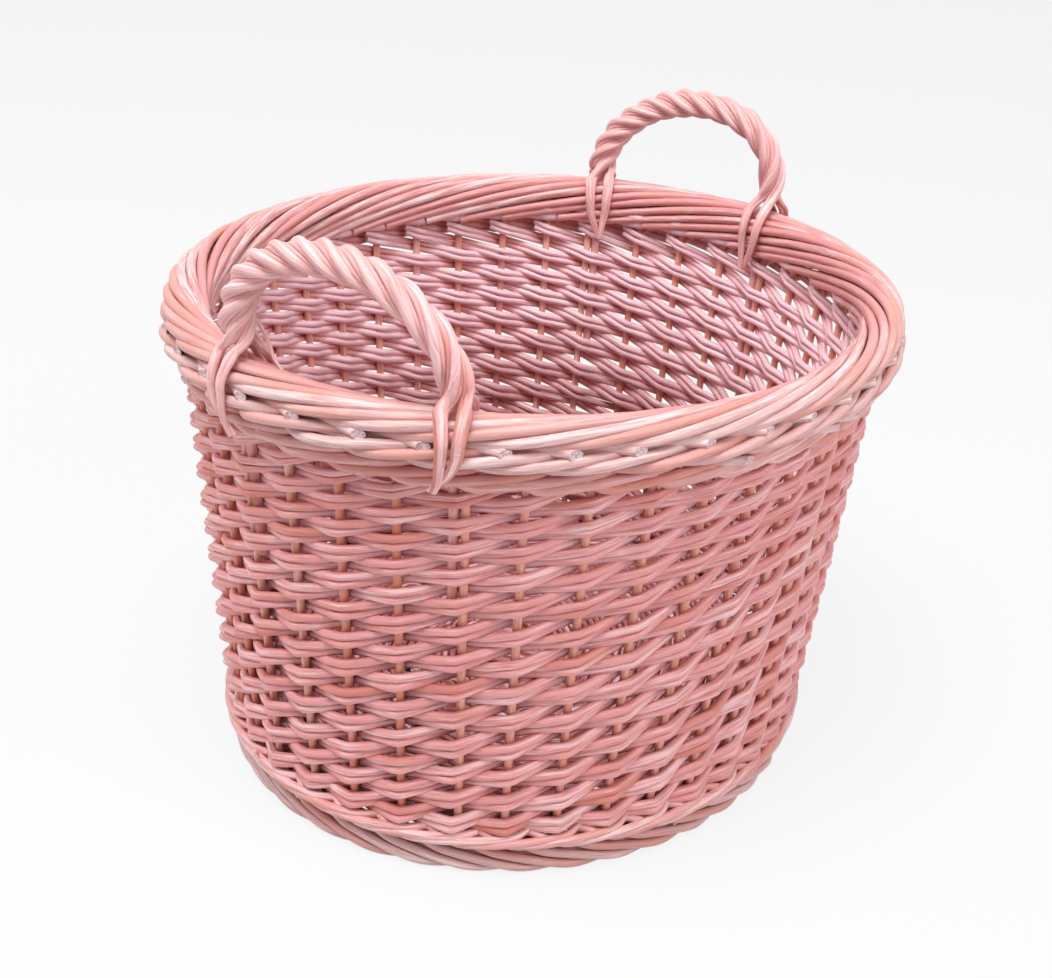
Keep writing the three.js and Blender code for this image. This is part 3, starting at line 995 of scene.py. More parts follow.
@dataclass
class RimBorder(SubAssembly):
    """The rolled rim: each stake's top is laid down outside in a low band, goes behind the next
    ones, comes out above them, and is rolled over the top to end inside.

    Args:
        radius: a rod's radius.
        course: what a rod passes: stakes from its own, and the section's outward and upward
            places in mm, from the middle of the border's foot.
        reach: how many stakes a rod runs on.
        parts: how many pieces share the rods.
        core: the outward and upward places of the tips that fill the roll, in mm.
        core_radius: the radius of those.
        low_cut_ends: how many of the stakes have a second cut end, under the bands, as a share.
        points_per_stake: how many points a stake step takes.
    """

    radius: float = 2.72 * MM
    course: tuple[tuple[float, float, float], ...] = (
        (0.0, -2.6, -1.5),
        (0.7, 10.0, 2.2),
        (1.7, 10.3, 7.3),
        (2.7, 3.8, 9.6),
        (3.7, 9.6, 15.0),
        (4.7, 8.2, 19.6),
        (5.7, 4.1, 22.2),
        (6.7, -1.5, 22.3),
        (7.7, -6.7, 20.1),
        (8.7, -9.9, 15.8),
        (9.7, -10.2, 10.4),
        (10.7, -9.9, 5.0),
        (11.7, -9.4, -0.3),
        (12.7, -8.7, -5.0),
    )
    reach: float = 11.95
    parts: int = 8
    core: tuple[tuple[float, float], ...] = ((1.5, 5), (-4.2, 7), (-2.6, 14), (3.2, 15.4))
    core_radius: float = 3.2 * MM
    low_cut_ends: float = 0.35
    points_per_stake: int = 8

    @functools.cached_property
    def base(self) -> float:
        """The height of the border's foot."""
        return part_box("rim_border")[0][2]

    def build(self) -> None:
        """Builds the rolled rods, the core that they lie on and the cut ends outside."""
        share = self.wall.stakes // self.parts
        for part in range(self.parts):
            bundle = RodBundle(f"rim_border_rods_{part + 1}", 700 + part, sides=10)
            for stake in range(part * share, (part + 1) * share):
                bundle.lay(self._rolled(stake, bundle.rng))
            bundle.finish(self.material, self.paint, "rim_border")
        self._core()
        self._cut_ends()

    def point(self, step: float, out: float, up: float) -> Vector:
        """Returns a point of the border's section at a stake step."""
        place = self.wall.place(step, self.wall.height)
        return place.moved(out, self.base + up - self.wall.height)

    def section(self, run: float) -> tuple[float, float]:
        """Finds where a rod passes through the border's section.

        Args:
            run: how many stakes on from its own.

        Returns:
            The outward and upward places.
        """
        i = max(0, min(len(self.course) - 2, bisect.bisect_right(self.course, (run, 99, 99)) - 1))
        near = [self.course[min(len(self.course) - 1, max(0, i + j))] for j in (-1, 0, 1, 2)]
        share = (run - near[1][0]) / (near[2][0] - near[1][0])
        point = curve_point([Vector((out, up, 0)) for _, out, up in near], share)
        return point.x * MM, point.y * MM

    def _rolled(self, stake: int, rng: random.Random) -> Rod:
        """Rolls one rod from its stake over the border.

        Args:
            stake: the stake's step.
            rng: the source of the rod's unevenness.

        Returns:
            The rod.
        """
        wander_out, wander_up = Wander(rng), Wander(rng)
        slip = rng.uniform(-0.12, 0.12)
        points = []
        for run in course_steps(0, self.reach + rng.uniform(-0.15, 0.15), self.points_per_stake):
            out, up = self.section(run)
            loose = ease(run)
            out += 0.4 * MM * loose * wander_out.at(stake + run)
            up += 0.4 * MM * loose * wander_up.at(stake + run)
            points.append(self.point(stake + run + slip * loose, out, up))
        butt = self.radius * rng.uniform(0.96, 1.06)
        return Rod.tapering(points, butt, butt * rng.uniform(0.88, 0.96))

    def _core(self) -> None:
        """Lays the tips that fill the roll's inside."""
        bundle = RodBundle("rim_border_core", 720, sides=6)
        for out, up in self.core:
            steps = core_steps(self.wall, bundle.rng)
            points = [self.point(step, out * MM, up * MM) for step in steps]
            bundle.lay(Rod.tapering(points, self.core_radius + 0.1 * MM, self.core_radius - 0.1 * MM))
        bundle.finish(self.material, self.paint, "rim_border")

    def _cut_ends(self) -> None:
        """Adds the slanting cut ends that show between the bands and, here and there, under them."""
        bundle = RodBundle("rim_border_cut_ends", 740, sides=10)
        rng = bundle.rng
        tint = 0.2
        for stake in range(self.wall.stakes):
            step = stake + rng.uniform(0.52, 0.7)
            bundle.lay(self._stub(step, 12.0 * MM, rng.uniform(10.8, 11.6) * MM, rng), tint)
            if rng.random() < self.low_cut_ends:
                step = stake + rng.uniform(0.2, 0.8)
                bundle.lay(self._stub(step, rng.uniform(8.4, 9.2) * MM, -4.4 * MM, rng), tint)
        bundle.finish(self.material, self.paint, "rim_border")

    def _stub(self, step: float, out: float, up: float, rng: random.Random) -> Rod:
        """Makes one end, which comes from clockwise inside the groove and is cut along the rim.

        Args:
            step: the stake step at which it is cut.
            out: how far out that is.
            up: how high above the border's foot.
            rng: the source of its unevenness.

        Returns:
            The end, as a short rod.
        """
        place = self.wall.place(step, self.wall.height)
        rise = self.base + up - self.wall.height
        tip = place.moved(out, rise, 0)
        middle = place.moved(out - 3.0 * MM, rise - 0.2 * MM, -5.5 * MM)
        butt = place.moved(out - 8.5 * MM, rise - 0.8 * MM, -17 * MM)
        radius = rng.uniform(2.25, 2.6) * MM
        rod = Rod.tapering(smoothed([butt, middle, tip], 3 * MM), radius, radius)
        slant = math.radians(rng.uniform(66, 80))
        rod.cut = place.tangent * math.cos(slant) + place.normal * math.sin(slant)
        return rod


@dataclass
class FootBorder(SubAssembly):
    """The foot: rods rolled outside, then inward under the basket, where it stands on them.

    Args:
        radius: a rod's radius.
        pitch: how far a rod moves on along the section at each stake.
        sunk: how far the highest rod lies below the frame's own top.
        corner: the radius of the turn from the outside to the underside.
        leaving: how many stakes a rod takes to come out from beside its own.
        length: how many stakes it runs on.
        core: the outward and upward places of the rods that fill the roll, in mm.
        core_radius: the radius of those.
        points_per_stake: how many points a stake step takes.
    """

    radius: float = 2.55 * MM
    pitch: float = 6.5 * MM
    sunk: float = 2.6 * MM
    corner: float = 3 * MM
    leaving: float = 0.8
    length: float = 5.2
    core: tuple[tuple[float, float], ...] = ((-0.5, 10), (-6, 9), (-12, 9.5))
    core_radius: float = 2.9 * MM
    points_per_stake: int = 7

    @functools.cached_property
    def outer(self) -> float:
        """How far outward the middle of the outermost rod lies."""
        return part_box("foot_border")[1][0] - self.wall.foot[0] - self.radius

    @functools.cached_property
    def top(self) -> float:
        """The height of the frame's foot border."""
        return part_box("foot_border")[1][2]

    def build(self) -> None:
        """Builds the rolled rods and their core."""
        half = self.wall.stakes // 2
        for part in range(2):
            bundle = RodBundle(f"foot_border_rods_{part + 1}", 800 + part)
            for stake in range(part * half, (part + 1) * half):
                bundle.lay(self._rolled(stake, bundle.rng))
            bundle.finish(self.material, self.paint, "foot_border")
        core = RodBundle("foot_border_core", 810, sides=6)
        for out, up in self.core:
            steps = core_steps(self.wall, core.rng)
            points = [self.wall.place(step, 0).moved(out * MM, up * MM) for step in steps]
            core.lay(Rod.tapering(points, self.core_radius + 0.1 * MM, self.core_radius - 0.1 * MM))
        core.finish(self.material, self.paint, "foot_border")

    def section(self, length: float) -> tuple[float, float]:
        """Finds a place on the border's section, which a rod's middle follows.

        Args:
            length: how far along the section from its top.

        Returns:
            The outward and upward places.
        """
        corner = self.corner
        side = self.top - self.sunk - self.radius - corner
        bend = corner * math.pi / 2
        if length <= side:
            return self.outer, self.top - self.sunk - length
        if length <= side + bend:
            turn = (length - side) / corner
            return self.outer - corner * (1 - math.cos(turn)), self.radius + corner * (1 - math.sin(turn))
        return self.outer - corner - (length - side - bend), self.radius

    def _rolled(self, stake: int, rng: random.Random) -> Rod:
        """Rolls one rod from beside its stake, down the outside and inward underneath.

        Args:
            stake: the stake's step.
            rng: the source of the rod's unevenness.

        Returns:
            The rod.
        """
        wander = Wander(rng)
        length = self.length + rng.uniform(-0.1, 0.25)
        points = []
        for run in course_steps(0, length, self.points_per_stake):
            out, up = self.section(max(0.0, run - self.leaving) * self.pitch)
            if run < self.leaving:
                out = blend(0.5 * MM, out, ease(run / self.leaving))
                up = blend(self.top + 5 * MM, up, run / self.leaving)
            out += 0.3 * MM * wander.at(stake + run)
            points.append(self.wall.place(stake + run, 0).moved(out, up))
        return Rod.tapering(points, self.radius, self.radius * rng.uniform(0.88, 0.98))


@dataclass
class Base(SubAssembly):
    """The base: sticks through split sticks, fanned out, with fine rods woven round them.

    Args:
        sticks: how many sticks lie each way.
        pitch: how far apart they lie where they cross, in the slath.
        radius: a stick's radius in the middle of the basket.
        tip_radius: its radius at its ends.
        half_slath: how far the slath reaches from the middle.
        inset: how far inside the wall's middle line a stick ends.
        slit_radius: the radius of the halves of a split stick's slit.
        slit_flat: how wide they are for their height.
        slit_lift: how far they lie from the stick's middle, at the slit's ends and in the slath.
        slit_opening: the share of the slit over which it opens.
        slit_points: how many points a half takes.
        rings: how many rings of weavers there are.
        first_ring: how far out the first ring lies, in rings.
        ring_shift: how many sticks further on each ring starts.
        weaver_radius: a weaver's radius.
        points_per_spoke: how many points a weaver takes from stick to stick.
    """

    sticks: int = 5
    pitch: float = 8.7 * MM
    radius: float = 4.4 * MM
    tip_radius: float = 3.1 * MM
    half_slath: float = 28.2 * MM
    inset: float = 10.1 * MM
    slit_radius: float = 2.2 * MM
    slit_flat: float = 1.75
    slit_lift: tuple[float, float] = (1.5 * MM, 6.6 * MM)
    slit_opening: float = 0.2
    slit_points: int = 17
    rings: int = 27
    first_ring: float = 0.6
    ring_shift: int = 7
    weaver_radius: float = 2.1 * MM
    points_per_spoke: int = 6

    @functools.cached_property
    def level(self) -> float:
        """The height of the sticks' middles."""
        low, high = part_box("base_weave")
        return (low[2] + high[2]) / 2

    def build(self) -> None:
        """Builds both sets of sticks and the weave."""
        through = RodBundle("base_sticks_through", 900)
        split = RodBundle("base_sticks_split", 901)
        for i in range(self.sticks):
            through.lay(self._swelling(self._stick(0, i - self.sticks // 2)))
            for rod in self._split_stick(i - self.sticks // 2):
                split.lay(rod)
        through.finish(self.material, self.paint, "base_through_sticks")
        split.finish(self.material, self.paint, "base_split_sticks")
        weave = RodBundle("base_weavers", 902, sides=6)
        for ring in range(self.rings):
            for rod in self._twined(ring):
                weave.lay(rod)
        weave.finish(self.material, self.paint, "base_weave")

    def _edge(self, side: int, place: int) -> Vector:
        """Finds where a stick ends.

        Args:
            side: one of the four sides, counted anticlockwise from +X.
            place: the stick's place, counted from the middle of that side.

        Returns:
            The point, just inside the wall.
        """
        step = side * self.wall.stakes / 4 + 0.5 + place * self.wall.stakes / (4 * self.sticks)
        return self.wall.place(step, self.level).moved(-self.inset)

    def _inner(self, side: int, place: int) -> Vector:
        """Finds where a stick leaves the slath.

        Args:
            side: one of the four sides, counted anticlockwise from +X.
            place: the stick's place, counted from the middle of that side.

        Returns:
            The point.
        """
        turned = Matrix.Rotation(side * math.pi / 2, 3, "Z")
        return turned @ Vector((self.half_slath, place * self.pitch, 0)) + UP * self.level

    def _stick(self, side: int, place: int) -> list[Vector]:
        """Finds the course of a stick that crosses from one side to the opposite one.

        Args:
            side: the side at which it starts.
            place: its place there, counted from the middle.

        Returns:
            Its ends and the two corners between them.
        """
        other = side + 2
        return [
            self._edge(side, place),
            self._inner(side, place),
            self._inner(other, -place),
            self._edge(other, -place),
        ]

    def _swelling(self, corners: list[Vector]) -> Rod:
        """Makes a stick that is thickest in the slath.

        Args:
            corners: the corners of its course.

        Returns:
            The stick.
        """
        points = resampled(corners, 6 * MM)
        shares = [ease((point - UP * point.z).length / self.wall.foot[0]) for point in points]
        return Rod(points, [blend(self.radius, self.tip_radius, share) for share in shares])

    def _split_stick(self, place: int) -> list[Rod]:
        """Makes a split stick, in four rods.

        Args:
            place: its place, counted from the middle of the side at +Y.

        Returns:
            Its two ends and the two halves of its slit.
        """
        edge, inner, other_inner, other_edge = self._stick(1, place)
        rods = [self._swelling([edge, inner]), self._swelling([other_edge, other_inner])]
        beyond = (inner - other_inner) * 0.06
        for side in (1, -1):
            points = []
            for i in range(self.slit_points):
                share = i / (self.slit_points - 1)
                opened = ease(min(share, 1 - share) / self.slit_opening)
                middle = (inner + beyond).lerp(other_inner - beyond, share)
                points.append(middle + UP * (side * blend(*self.slit_lift, opened)))
            rods.append(Rod.tapering(points, self.slit_radius, self.slit_radius, self.slit_flat))
        return rods

    def _twined(self, ring: int) -> list[Rod]:
        """Twines two rods round the sticks, which are counted round the four sides.

        Args:
            ring: the ring's number, from the middle.

        Returns:
            The two rods, one above each stick where the other is below it.
        """
        share = (ring + self.first_ring) / self.rings
        spokes = []
        for side in range(4):
            for place in range(-(self.sticks // 2), self.sticks // 2 + 1):
                spokes.append(self._inner(side, place).lerp(self._edge(side, place), share))
        count = len(spokes)
        lift = blend(self.radius, self.tip_radius, share) + 0.75 * self.weaver_radius
        start = (ring * self.ring_shift) % count + 0.5
        rods = []
        for hand in (1, -1):
            points = []
            for i in range(count * self.points_per_spoke + 1):
                at = start + i / self.points_per_spoke
                k = math.floor(at)
                near = [spokes[(k + j) % count] for j in (-1, 0, 1, 2)]
                middle = curve_point(near, at - k)
                outward = Vector((middle.x, middle.y, 0)).normalized()
                wave, cross = math.cos(math.pi * at), math.sin(math.pi * at)
                bend = math.copysign(abs(wave) ** 0.7, wave)
                swing = UP * lift * bend + outward * 0.8 * self.weaver_radius * cross
                points.append(middle + swing * hand)
            points.pop()
            rods.append(Rod.tapering(points, self.weaver_radius, self.weaver_radius * 0.95))
        return rods


def curve_point(near: list[Vector], share: float) -> Vector:
    """Finds a point of the smooth curve that runs through four points.

    Args:
        near: the four points.
        share: how far the wanted point lies from the second to the third.

    Returns:
        The point.
    """
    a, b, c, d = near
    square, cube = share * share, share * share * share
    return 0.5 * (
        2 * b + (c - a) * share + (2 * a - 5 * b + 4 * c - d) * square + (3 * b - a - 3 * c + d) * cube
    )


def resampled(points: list[Vector], spacing: float) -> list[Vector]:
    """Adds points on the straight lines between given ones.

    Args:
        points: the given points.
        spacing: about how far apart all of them lie then.

    Returns:
        The points, with the given ones among them.
    """
    made = [points[0].copy()]
    for first, second in zip(points, points[1:]):
        count = max(1, round((second - first).length / spacing))
        made += [first.lerp(second, (i + 1) / count) for i in range(count)]
    return made


def smoothed(points: list[Vector], spacing: float) -> list[Vector]:
    """Lays a smooth curve through given points.

    Args:
        points: the points.
        spacing: about how far apart the curve's own points are.

    Returns:
        The curve's points, with both ends.
    """
    made = [points[0].copy()]
    for i in range(len(points) - 1):
        near = [points[max(0, i - 1)], points[i], points[i + 1], points[min(len(points) - 1, i + 2)]]
        count = max(1, round((near[2] - near[1]).length / spacing))
        made += [curve_point(near, (j + 1) / count) for j in range(count)]
    return made


class TailPoint(NamedTuple):
    """A point of a tail's way down a face of the border, in mm.

    Args:
        out: how far it lies from the leg's middle, on the face's own side.
        up: how far it lies above the rim.
        aside: how far it lies to the tail's own side of the leg.
        gap: how far apart the rods of its group lie there.
        drift: how far it has moved towards the arch's middle.
    """

    out: float
    up: float
    aside: float
    gap: float
    drift: float


OUTER_TAIL = (
    TailPoint(9.0, 2.6, 5.4, 2.3, 0.0),
    TailPoint(12.6, -3.4, 4.7, 2.1, 0.0),
    TailPoint(14.9, -10.5, 4.0, 1.95, 0.0),
    TailPoint(15.0, -18.0, 3.7, 1.8, 0.5),
    TailPoint(14.2, -25.0, 2.6, 1.5, 2.0),
    TailPoint(12.4, -31.0, 0.8, 1.2, 4.5),
    TailPoint(10.6, -36.5, -0.8, 0.9, 8.0),
)
INNER_TAIL = (
    TailPoint(8.8, 2.6, 5.8, 2.2, 0.0),
    TailPoint(12.6, -3.4, 5.8, 2.0, 0.0),
    TailPoint(14.8, -10.5, 5.4, 1.85, 0.0),
    TailPoint(15.0, -18.0, 4.8, 1.6, 0.3),
    TailPoint(14.8, -25.0, 3.4, 1.3, 0.8),
    TailPoint(14.6, -31.0, 1.7, 1.0, 1.6),
    TailPoint(14.2, -36.5, 0.4, 0.8, 2.5),
)
# The loose rod's way from its leg: outward, upward and towards the arch's middle, in mm
LOOSE_ROD = ((-4, 20, 3), (-6.5, 15, 7), (-7, 8.5, 13), (-6, 2.5, 19), (-6.5, -1.5, 25))


@dataclass
class Handle(SubAssembly):
    """A handle: a bow pushed down beside two stakes and four groups of rods laid round it.

    Args:
        side: the end of the basket at which it stands.
        bow_radius: the bow's radius.
        leg_depth: how far a leg reaches down from the rim.
        straight: how far it runs on straight above the rim.
        arch_rise: how high the arch rises from there.
        arch_sway: how far the arch's crown leans clockwise, seen from above.
        arch_points: how many points share the arch.
        middle_radius: the radius of the stout rod in the middle of a group.
        side_radius: the radius of the thin rods on both sides of it.
        tip_radius: a rod's radius at its tips.
        tip_points: how many points a rod tapers over there.
        tight_reach: how far a group lies from the bow's middle where the rope is wound tight.
        long_reach: how far it lies from there where the rope is wound long.
        sunk: how much nearer the thin rods lie.
        tucked: how far they lie from the stout one, as a share of half a group's width.
        tight_pitch: the length of a turn where the rope is wound tight.
        long_pitch: its length where the rope is wound long.
        slack_from: where it starts to be wound longer, as a share of its length.
        slack_over: the share of its length over which that happens.
        rope_from: how far above the rim the rope starts and ends.
        spacing: about how far apart the points of its rods lie.
        tints: the tints of a group's stout rod and of its thin ones; the thin rods, sunk in the grooves
            between the groups, are tinted warmer and darker as painted shade.
        groups: how many groups there are.
        crossing: how much further out the tail on the arch's side lies, where two cross, in mm.
    """

    side: Side = Side.RIGHT
    bow_radius: float = 2.8 * MM
    leg_depth: float = 112 * MM
    straight: float = 12 * MM
    arch_rise: float = 48 * MM
    arch_sway: float = 7 * MM
    arch_points: int = 48
    middle_radius: float = 2.5 * MM
    side_radius: float = 1.4 * MM
    tip_radius: float = 0.95 * MM
    tip_points: int = 16
    tight_reach: float = 6.8 * MM
    long_reach: float = 6.2 * MM
    sunk: float = 1.1 * MM
    tucked: float = 0.64
    tight_pitch: float = 56 * MM
    long_pitch: float = 92 * MM
    slack_from: float = 0.45
    slack_over: float = 0.5
    rope_from: float = 3 * MM
    spacing: float = 2.6 * MM
    # Painted shade: the thin rods in the grooves take a darker, warmer tint than the stout one.
    tints: tuple[float, float] = (0.2, 0.75)
    groups: int = 4
    crossing: float = 1.6

    @functools.cached_property
    def legs(self) -> list[Leg]:
        """The handle's legs, the one at +Y first."""
        return self.side.legs(self.wall)

    def build(self) -> None:
        """Builds the bow and one piece for each group of rods."""
        bow = RodBundle(f"bow_{self.side.value}", 1000)
        ends = self._centre_line(self.wall.height - self.leg_depth)
        bow.lay(Rod.tapering(resampled(ends, 5 * MM), self.bow_radius, self.bow_radius))
        bow.finish(self.material, self.paint, f"handle_bow_{self.side.value}")
        self._rope()
        if self.side is Side.LEFT:
            self._loose_end()

    def _leg_place(self, leg: Leg, z: float) -> Place:
        """Returns the middle of a leg at a height."""
        place = self.wall.place(leg.step, z)
        return Place(place.moved(0, 0, leg.inward * leg.bow_aside), place.normal, place.tangent)

    def _centre_line(self, bottom: float) -> list[Vector]:
        """Finds the bow's middle line.

        Args:
            bottom: the height from which its legs are wanted.

        Returns:
            The points, up the leg at +Y, over the arch and down the other leg.
        """
        straight_top = self.wall.height + self.straight
        lows = [self._leg_place(leg, bottom).point for leg in self.legs]
        highs = [self._leg_place(leg, straight_top).point for leg in self.legs]
        middle = highs[0].lerp(highs[1], 0.5)
        half = highs[1] - middle
        clockwise = half.normalized() * -self.legs[0].inward
        lean = (highs[0] - lows[0] + highs[1] - lows[1]).normalized()
        crown = lean * self.arch_rise + clockwise * self.arch_sway
        points = [lows[0]]
        for i in range(self.arch_points + 1):
            turn = i / self.arch_points * math.pi
            points.append(middle - half * math.cos(turn) + crown * math.sin(turn))
        points.append(lows[1])
        return points

    def _rope(self) -> None:
        """Lays the groups round the bow, and down both faces of the border at its legs."""
        line = resampled(self._centre_line(self.wall.height + self.rope_from), self.spacing)
        frames = Rod(line, [1.0] * len(line)).frames()
        start = self._tail_angle(frames[0], self.legs[0])
        finish = self._tail_angle(frames[-1], self.legs[1])
        rates = [1 / self._pitch(i / (len(line) - 1)) for i in range(len(line))]
        twists = [0.0]
        for i in range(1, len(line)):
            run = (line[i] - line[i - 1]).length
            twists.append(twists[-1] + TURN * run * (rates[i] + rates[i - 1]) / 2)
        apart = TURN / self.groups
        whole = finish - start + apart * round((twists[-1] - finish + start) / apart)
        twists = [start + twist * whole / twists[-1] for twist in twists]
        for group in range(self.groups):
            bundle = RodBundle(f"handle_{self.side.value}_strand_{group + 1}", 1010 + group, sides=10)
            shade = bundle.rng.random()
            for member in (-1, 0, 1):
                rod = self._strand_rod(line, frames, twists, group, member, bundle.rng)
                # The thin rods' darker tint is painted shade in the grooves between the groups.
                tint = self.tints[abs(member)]
                bundle.lay(rod, blend(tint, 0.5 * (shade + bundle.rng.random()), 0.4))
            bundle.finish(self.material, self.paint, f"handle_rope_{self.side.value}")

    def _slack(self, share: float) -> float:
        """Returns 0 where the rope is wound tight and 1 where it is wound long, at the second leg."""
        return ease((share - self.slack_from) / self.slack_over)

    def _pitch(self, share: float) -> float:
        """Returns the length of one turn: short at the first leg and long at the second."""
        return blend(self.tight_pitch, self.long_pitch, self._slack(share))

    def _tail_angle(self, frame: Matrix, leg: Leg) -> float:
        """Finds the way out and anticlockwise from a leg, as an angle in a frame.

        Args:
            frame: the frame.
            leg: the leg.

        Returns:
            The angle, in radians.
        """
        place = self._leg_place(leg, self.wall.height)
        way = place.normal + place.tangent
        return math.atan2(way.dot(frame.col[1].to_3d()), way.dot(frame.col[0].to_3d()))

    def _strand_rod(
        self,
        line: list[Vector],
        frames: list[Matrix],
        twists: list[float],
        group: int,
        member: int,
        rng: random.Random,
    ) -> Rod:
        """Lays one rod of a group from the tip of one tail to the tip of the other.

        Args:
            line: the bow's middle line above the border.
            frames: its frames.
            twists: how far the groups have turned at each point.
            group: the group's number.
            member: -1, 0 or 1, the rod's place in its group.
            rng: the source of its unevenness.

        Returns:
            The rod.
        """
        wander = Wander(rng, 0.05, 0.3)
        radius = (self.side_radius if member else self.middle_radius) * rng.uniform(0.95, 1.05)
        coil = []
        for i, point in enumerate(line):
            share = i / (len(line) - 1)
            middle = blend(self.tight_reach, self.long_reach, self._slack(share))
            lay = math.atan(TURN * middle / self._pitch(share))
            half = TURN * middle * math.cos(lay) / (2 * self.groups)
            spread = self.tucked * half / (middle * math.cos(lay))
            reach = middle - (self.sunk if member else 0.0) + 0.3 * MM * wander.at(i)
            angle = twists[i] + group * TURN / self.groups + member * spread
            across, rise = frames[i].col[0].to_3d(), frames[i].col[1].to_3d()
            coil.append(point + (across * math.cos(angle) + rise * math.sin(angle)) * reach)
        head = self._tail(self.legs[0], coil[0], member, rng)
        tail = self._tail(self.legs[1], coil[-1], member, rng)
        points = smoothed(head[::-1] + coil[2:-2] + tail, self.spacing)
        last = len(points) - 1
        shares = [ease(min(i, last - i) / self.tip_points) for i in range(last + 1)]
        return Rod(points, [blend(self.tip_radius, radius, share) for share in shares])

    def _tail(self, leg: Leg, start: Vector, member: int, rng: random.Random) -> list[Vector]:
        """Lays a tail over the border, from the rope down to the tip.

        Args:
            leg: the leg that the tail lies at.
            start: where the rod leaves the rope.
            member: its place in the group.
            rng: the source of its unevenness.

        Returns:
            The points, the tip last.
        """
        top = self._leg_place(leg, self.wall.height)
        offset = start - top.point
        face = 1 if offset.dot(top.normal) > 0 else -1
        hand = 1 if offset.dot(top.tangent) > 0 else -1
        over = self.crossing if hand == leg.inward else 0.0
        points = []
        for i, point in enumerate(OUTER_TAIL if face > 0 else INNER_TAIL):
            late = ease((i - 3) / 3)
            aside = hand * point.aside - member * face * point.gap + leg.inward * point.drift
            out = face * (point.out + over * late) + rng.uniform(-0.15, 0.15)
            points.append(top.moved(out * MM, point.up * MM, aside * MM))
        return points

    def _loose_end(self) -> None:
        """Adds the thin rod that has sprung loose beside this handle's first leg."""
        leg = self.legs[0]
        top = self._leg_place(leg, self.wall.height)
        points = [top.moved(out * MM, up * MM, leg.inward * aside * MM) for out, up, aside in LOOSE_ROD]
        bundle = RodBundle("handle_left_loose_rod", 1030)
        bundle.lay(Rod.tapering(smoothed(points, 3 * MM), 1.1 * MM, 0.8 * MM), 0.3)
        bundle.finish(self.material, self.paint, "handle_rope_left")


class Lamp(NamedTuple):
    """A square lamp that faces the basket: its place, its width in metres and its power in watts."""

    name: str
    place: tuple[float, float, float]
    size: float
    power: float


LAMPS = (
    Lamp("overhead", (-0.75, 0.0, 2.4), size=1.2, power=52.0),
    Lamp("left", (-1.1, 2.0, 1.6), size=1.2, power=15.0),
    Lamp("right", (-0.2, -2.2, 1.5), size=1.2, power=23.0),
)


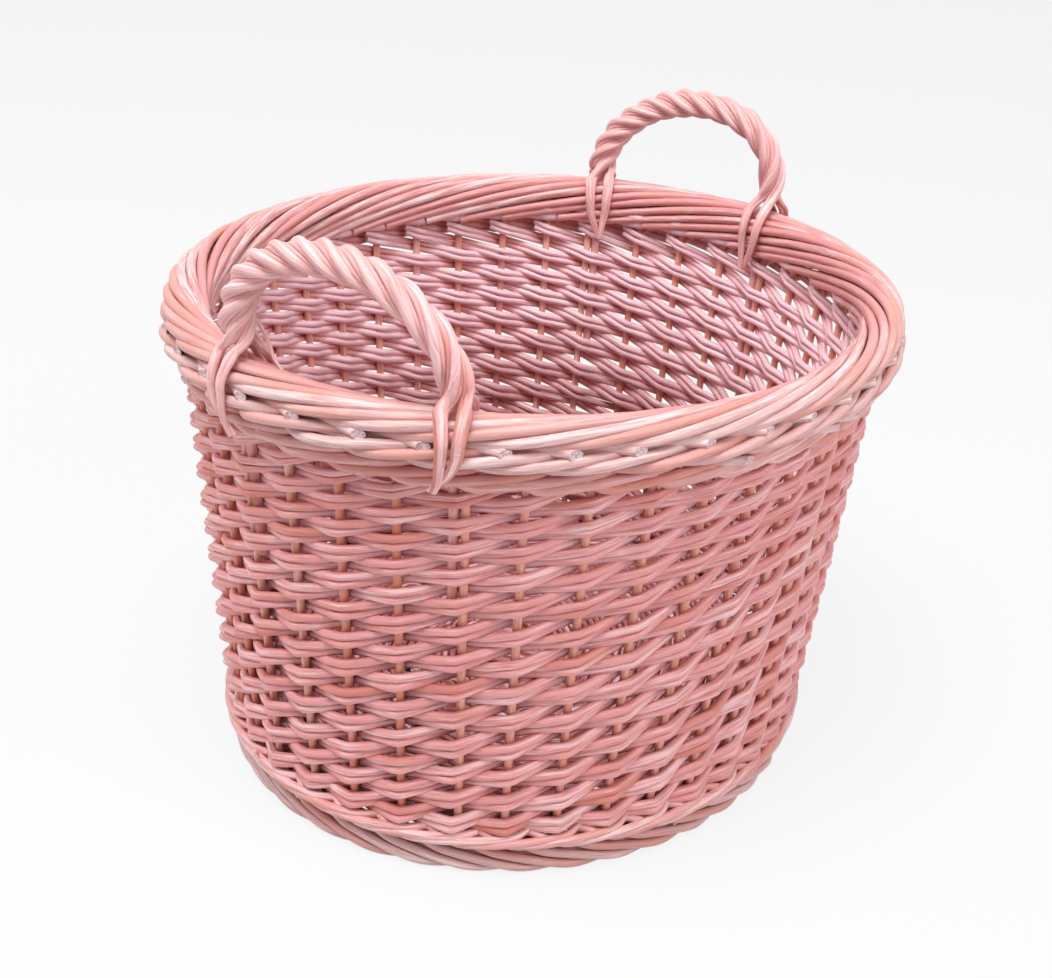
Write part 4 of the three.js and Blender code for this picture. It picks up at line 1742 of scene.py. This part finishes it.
@dataclass(frozen=True)
class Studio:
    """A plain pale floor, soft light and the camera at the photograph's angle.

    Args:
        target: the point that the camera looks at.
        distance: its distance from there.
        elevation: its height above the horizon, in radians.
        heading: the level direction in which it looks, from +X, in radians.
        roll: its roll, in radians.
        lens: its focal length, in mm.
        sensor: its sensor's width, in mm.
        shift: how far the picture is shifted right and up, as shares of its width.
        floor_grey: how much light the floor throws back.
        floor_white: how much of it is plain white to the camera, from 0 to 1.
        ambient: the colour of the light from all round, and its strength.
    """

    target: tuple[float, float, float] = (0.0, 0.0, 0.139)
    distance: float = 1.00206
    elevation: float = 0.4502
    heading: float = math.radians(26.1)
    roll: float = 0.065
    lens: float = 57.08
    sensor: float = 36.0
    shift: tuple[float, float] = (-0.0023, 0.0042)
    floor_grey: float = 0.66
    floor_white: float = 0.85
    ambient: tuple[Colour, float] = ((0.96, 0.97, 1.0), 0.34)

    def build(self) -> None:
        """Builds the floor, the lamps, the world and the camera."""
        self._floor()
        self._world()
        for lamp in LAMPS:
            self._lamp(lamp)
        self._camera()
        bpy.context.scene.view_settings.view_transform = "Standard"

    def _floor(self) -> None:
        """Builds the floor, pale to the camera except where the basket shades it."""
        shape = bmesh.new()
        bmesh.ops.create_grid(shape, x_segments=1, y_segments=1, size=6.0)
        data = bpy.data.meshes.new("floor")
        shape.to_mesh(data)
        shape.free()
        floor = bpy.data.objects.new("floor", data)
        bpy.context.scene.collection.objects.link(floor)
        made = bpy.data.materials.new("floor")
        made.use_nodes = True
        graph = Graph(made.node_tree)
        grey = (self.floor_grey, self.floor_grey, self.floor_grey, 1.0)
        board = graph.add("ShaderNodeBsdfDiffuse", {}, {"Color": grey})
        glow = graph.add("ShaderNodeEmission", {}, {"Color": WHITE, "Strength": 1.0})
        share = self._seen(graph) * self.floor_white
        surface = graph.add("ShaderNodeMixShader", {}, {0: share, 1: board, 2: glow})
        graph.add("ShaderNodeOutputMaterial", {}, {"Surface": surface})
        data.materials.append(made)

    def _seen(self, graph: Graph) -> Socket:
        """Tells what is seen from what only lights the basket.

        Args:
            graph: the graph that asks.

        Returns:
            1 for what the camera, a reflection or a clear body shows, and 0 for the rest.
        """
        kinds = ("Camera", "Glossy", "Transmission")
        rays = [graph.add("ShaderNodeLightPath", output=f"Is {kind} Ray") for kind in kinds]
        return rays[0] + rays[1] + rays[2]

    def _world(self) -> None:
        """Lights the basket softly all round, before a white background."""
        world = bpy.data.worlds.new("studio")
        bpy.context.scene.world = world
        world.use_nodes = True
        graph = Graph(world.node_tree)
        colour, strength = self.ambient
        light = graph.add("ShaderNodeBackground", {}, {"Color": (*colour, 1.0), "Strength": strength})
        white = graph.add("ShaderNodeBackground", {}, {"Color": WHITE, "Strength": 1.0})
        surface = graph.add("ShaderNodeMixShader", {}, {0: self._seen(graph), 1: light, 2: white})
        graph.add("ShaderNodeOutputWorld", {}, {"Surface": surface})

    def _lamp(self, lamp: Lamp) -> None:
        """Adds a lamp.

        Args:
            lamp: what it is like.
        """
        data = bpy.data.lights.new(lamp.name, "AREA")
        data.shape = "SQUARE"
        data.size = lamp.size
        data.energy = lamp.power
        made = bpy.data.objects.new(lamp.name, data)
        bpy.context.scene.collection.objects.link(made)
        made.location = lamp.place
        made.rotation_euler = (Vector(self.target) - made.location).to_track_quat("-Z", "Y").to_euler()

    def _camera(self) -> None:
        """Adds the camera and makes it the scene's own."""
        level = Vector((math.cos(self.heading), math.sin(self.heading), 0))
        ahead = level * math.cos(self.elevation) - UP * math.sin(self.elevation)
        right = ahead.cross(UP).normalized()
        rise = right.cross(ahead)
        turned_right = right * math.cos(self.roll) + rise * math.sin(self.roll)
        turned_rise = rise * math.cos(self.roll) - right * math.sin(self.roll)
        data = bpy.data.cameras.new("camera")
        data.lens = self.lens
        data.sensor_width = self.sensor
        data.shift_x, data.shift_y = self.shift
        camera = bpy.data.objects.new("camera", data)
        bpy.context.scene.collection.objects.link(camera)
        turned = Matrix((turned_right, turned_rise, -ahead)).transposed().to_4x4()
        camera.matrix_world = Matrix.Translation(Vector(self.target) - ahead * self.distance) @ turned
        bpy.context.scene.camera = camera


def main() -> None:
    """Builds the basket's parts in the order in which a maker would, and the studio round them."""
    logging.basicConfig(level=logging.INFO, format="%(name)s: %(message)s")
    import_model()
    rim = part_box("rim_border")
    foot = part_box("foot_border")
    wall = Wall(
        foot=(foot[1][0] - FOOT_OVERHANG, foot[1][1] - FOOT_OVERHANG),
        rim=(rim[1][0] - RIM_OVERHANG, rim[1][1] - RIM_OVERHANG),
        height=rim[1][2],
    )
    Base(wall, SHADED_BASE_PAINT).build()
    Stakes(wall, STAKE_PAINT).build()
    Wale(wall, WALE_PAINT, level=WaleLevel.BOTTOM).build()
    SideWeave(wall, WEAVER_PAINT).build()
    Wale(wall, WALE_PAINT, level=WaleLevel.TOP).build()
    RimBorder(wall, BORDER_PAINT).build()
    FootBorder(wall, BORDER_PAINT).build()
    for side in Side:
        Handle(wall, HANDLE_PAINT, side=side).build()
    Studio().build()


if __name__ == "__main__":
    main()
